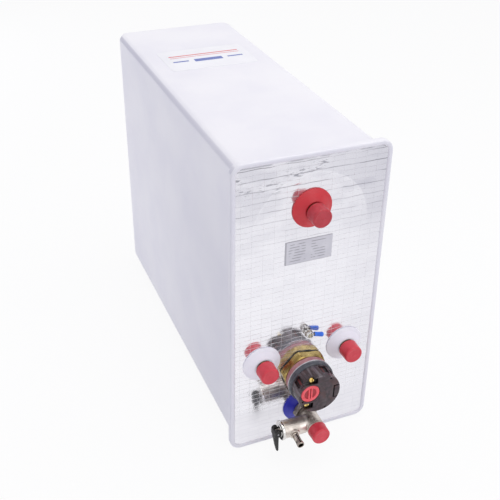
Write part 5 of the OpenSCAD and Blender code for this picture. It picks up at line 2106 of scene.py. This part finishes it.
@dataclass
class Labels:
    """Rating plate on the foil and sticker on the casing's top, both without words."""

    plate: Flat = (58.5, 30.0)
    plate_x: float = -1.0
    plate_back: float = -1.38
    plate_r: float = 0.8
    sticker: Flat = (122.0, 78.0)
    sticker_z: float = 392.5
    sticker_r: float = 7.0
    thickness: float = 0.28
    edge: float = 0.25

    def card(self, size: Flat, radius: float, place: Matrix, back: float) -> Form:
        """Thin plate with rounded corners and a softened edge.

        Args:
            size: Its width and height.
            radius: Radius of its corners.
            place: Frame about its centre.
            back: Where its back lies along the frame's axis.

        Returns:
            The plate.
        """
        sections = []
        for up, inset in ((0.0, 0.0), (0.7 * self.thickness, 0.0), (self.thickness, self.edge)):
            half_w, half_h = ((side - 2 * inset) / 2 for side in size)
            corners = [(-half_w, -half_h), (half_w, -half_h), (half_w, half_h), (-half_w, half_h)]
            flat = rounded(corners, radius, True, 6)
            sections.append([place @ Vector((u, v, back + up)) for u, v in flat])
        return Form().loft(sections)

    def build(self) -> None:
        """Rating plate and sticker."""
        place = seat((self.plate_x, 0, PLATE_Z))
        plate = self.card(self.plate, self.plate_r, place, self.plate_back)
        plate.show("rating_card", RATING, nodes=["rating_plate"])
        place = seat((0, STICKER_Y, self.sticker_z), (0, 0, 1))
        sticker = self.card(self.sticker, self.sticker_r, place, 0.0)
        sticker.show("top_sticker", STICKER, nodes=["top_label"])


@dataclass
class Inside:
    """CAD nodes that keep their own shape and get a finish."""

    def build(self) -> None:
        """Gives each CAD node the finish of its slot."""
        for name, node in frame["nodes"].items():
            for holder in node.material_slots:
                finish = FINISHES.get(holder.material.name.split(".")[0])
                if finish:
                    holder.material = finish.material()
            LOG.info("%s keeps its node", name)


@dataclass(frozen=True)
class Lamp:
    """Square soft lamp: its place and side in metres, its power in watts and its colour."""

    name: str
    at: Place
    watts: float
    size: float
    tint: Place = (1.0, 1.0, 1.0)
    in_gloss: bool = True


@dataclass
class Studio:
    """Pale floor, soft light and the camera at the photograph's place."""

    camera_at: Place = (-0.36303, -0.69454, 0.77098)
    heading: float = 22.660
    pitch: float = -32.264
    roll: float = 0.808
    lens: float = 59.187
    sensor: float = 36.0
    target: Place = (0.0, 0.0, 0.2)
    floor_half: float = 8.0
    floor_paint: Colour = (0.93, 0.93, 0.94, 1.0)
    floor_glow: float = 0.9
    sky: Colour = (0.905, 0.905, 1.0, 1.0)
    sky_level: float = 0.615
    lamps: tuple[Lamp, ...] = (
        Lamp("key", (0.35, -0.1, 2.1), 16.5, 1.5, (1.0, 0.985, 0.91)),
        Lamp("fill", (0.5, -1.9, 0.9), 4.4, 1.2),
        Lamp("side", (-0.75, 1.6, 0.3), 5.0, 0.8, (0.82, 0.82, 1.0), in_gloss=False),
    )

    def camera(self) -> None:
        """Camera by place, heading, pitch and roll."""
        turn, dip, lean = (math.radians(angle) for angle in (self.heading, self.pitch, self.roll))
        ahead = Vector((math.sin(turn) * math.cos(dip), math.cos(turn) * math.cos(dip), math.sin(dip)))
        level = ahead.cross(Vector((0, 0, 1))).normalized()
        upright = level.cross(ahead)
        right = math.cos(lean) * level + math.sin(lean) * upright
        above = math.cos(lean) * upright - math.sin(lean) * level
        data = bpy.data.cameras.new("camera")
        data.lens = self.lens
        data.sensor_width = self.sensor
        data.sensor_fit = "HORIZONTAL"
        made = bpy.data.objects.new("camera", data)
        place = Matrix.Translation(self.camera_at) @ Matrix.Translation((0, FLANGE_Y * MM, 0))
        made.matrix_world = place @ Matrix((right, above, -ahead)).transposed().to_4x4()
        bpy.context.scene.collection.objects.link(made)
        bpy.context.scene.camera = made

    def hang(self, lamp: Lamp) -> None:
        """Adds a lamp that faces the heater's middle.

        Args:
            lamp: The lamp.
        """
        data = bpy.data.lights.new(lamp.name, "AREA")
        data.energy = lamp.watts
        data.size = lamp.size
        data.color = lamp.tint
        made = bpy.data.objects.new(lamp.name, data)
        aim = Vector(self.target) - Vector(lamp.at)
        turned = aim.to_track_quat("-Z", "Y").to_matrix().to_4x4()
        made.matrix_world = Matrix.Translation(lamp.at) @ turned
        bpy.context.scene.collection.objects.link(made)
        if not lamp.in_gloss:
            made.visible_glossy = False

    @staticmethod
    def seen(graph: Graph) -> Value:
        """Picks out the rays that show the background itself.

        Args:
            graph: The graph to add to.

        Returns:
            1 for rays from the camera, in gloss and through glass, and 0 for others.
        """
        names = ("Is Camera Ray", "Is Glossy Ray", "Is Transmission Ray")
        rays = [graph.node("ShaderNodeLightPath", output=name) for name in names]
        return rays[0].most(rays[1]).most(rays[2])

    def surroundings(self) -> None:
        """White world that lights softly, and a pale floor that keeps the shadow."""
        world = bpy.data.worlds.new("studio")
        bpy.context.scene.world = world
        world.use_nodes = True
        graph = Graph(world.node_tree)
        light = graph.node("ShaderNodeBackground", sockets={"Color": self.sky, "Strength": self.sky_level})
        white = graph.node("ShaderNodeBackground", sockets={"Color": WHITE, "Strength": 1.0})
        shown = graph.node("ShaderNodeMixShader", sockets={0: self.seen(graph), 1: light, 2: white})
        graph.node("ShaderNodeOutputWorld", sockets={"Surface": shown})
        material = bpy.data.materials.new("floor")
        material.use_nodes = True
        graph = Graph(material.node_tree)
        grain = graph.noise(2.0, 2)
        paint = graph.node(
            "ShaderNodeBsdfPrincipled",
            sockets={"Base Color": self.floor_paint, "Roughness": 0.9 + (grain - 0.5) * 0.1},
        )
        glow = graph.node("ShaderNodeEmission", sockets={"Color": WHITE, "Strength": 1.0})
        share = self.seen(graph) * self.floor_glow
        shown = graph.node("ShaderNodeMixShader", sockets={0: share, 1: paint, 2: glow})
        graph.node("ShaderNodeOutputMaterial", sockets={"Surface": shown})
        half = self.floor_half
        mesh = bpy.data.meshes.new("floor")
        corners = [(-half, -half, -MM), (half, -half, -MM), (half, half, -MM), (-half, half, -MM)]
        mesh.from_pydata(corners, [], [(0, 1, 2, 3)])
        mesh.materials.append(material)
        floor = bpy.data.objects.new("floor", mesh)
        bpy.context.scene.collection.objects.link(floor)

    def build(self) -> None:
        """Sets up the camera, the lamps and the surroundings."""
        bpy.context.scene.view_settings.view_transform = "Standard"
        self.camera()
        for lamp in self.lamps:
            self.hang(lamp)
        self.surroundings()


def main() -> None:
    """Builds the heater piece by piece."""
    logging.basicConfig(level=logging.INFO, format="%(name)s %(message)s")
    Studio().build()
    Inside().build()
    Casing().build()
    FrontPanel().build()
    ports = {
        "hot": Port("hot_outlet", 0.0, HOT_Z, RED_COLLAR, Body.HOT_CAP, cap_finish=HOT_CAP),
        "left_coil": Port("left_coil", -COIL_X, COIL_Z, WHITE_COLLAR, Body.LEFT_CAP),
        "right_coil": Port("right_coil", COIL_X, COIL_Z, WHITE_COLLAR, Body.RIGHT_CAP),
    }
    for port in ports.values():
        port.stub()
    for name, port in ports.items():
        port.ring(f"{name}_collar")
    for name, port in ports.items():
        port.cap(f"{name}_cap")
    inlet = Port("cold_inlet", 0.0, COLD_Z, BLUE_COLLAR, Body.VALVE_CAP, cap_from=46.0, cap_to=60.5)
    inlet.ring("cold_collar")
    inlet.cap("valve_cap")
    Element().build()
    Thermostat().build()
    SafetyValve().build()
    Spring("relief_spring", "stem_pull", axis=0, fixed_side=-1, wire_r=0.7, turns=6).build()
    Spring("check_spring", "poppet_open", axis=1, fixed_side=1, wire_r=0.35, turns=5).build()
    EarthTerminal().build()
    Labels().build()


if __name__ == "__main__":
    main()
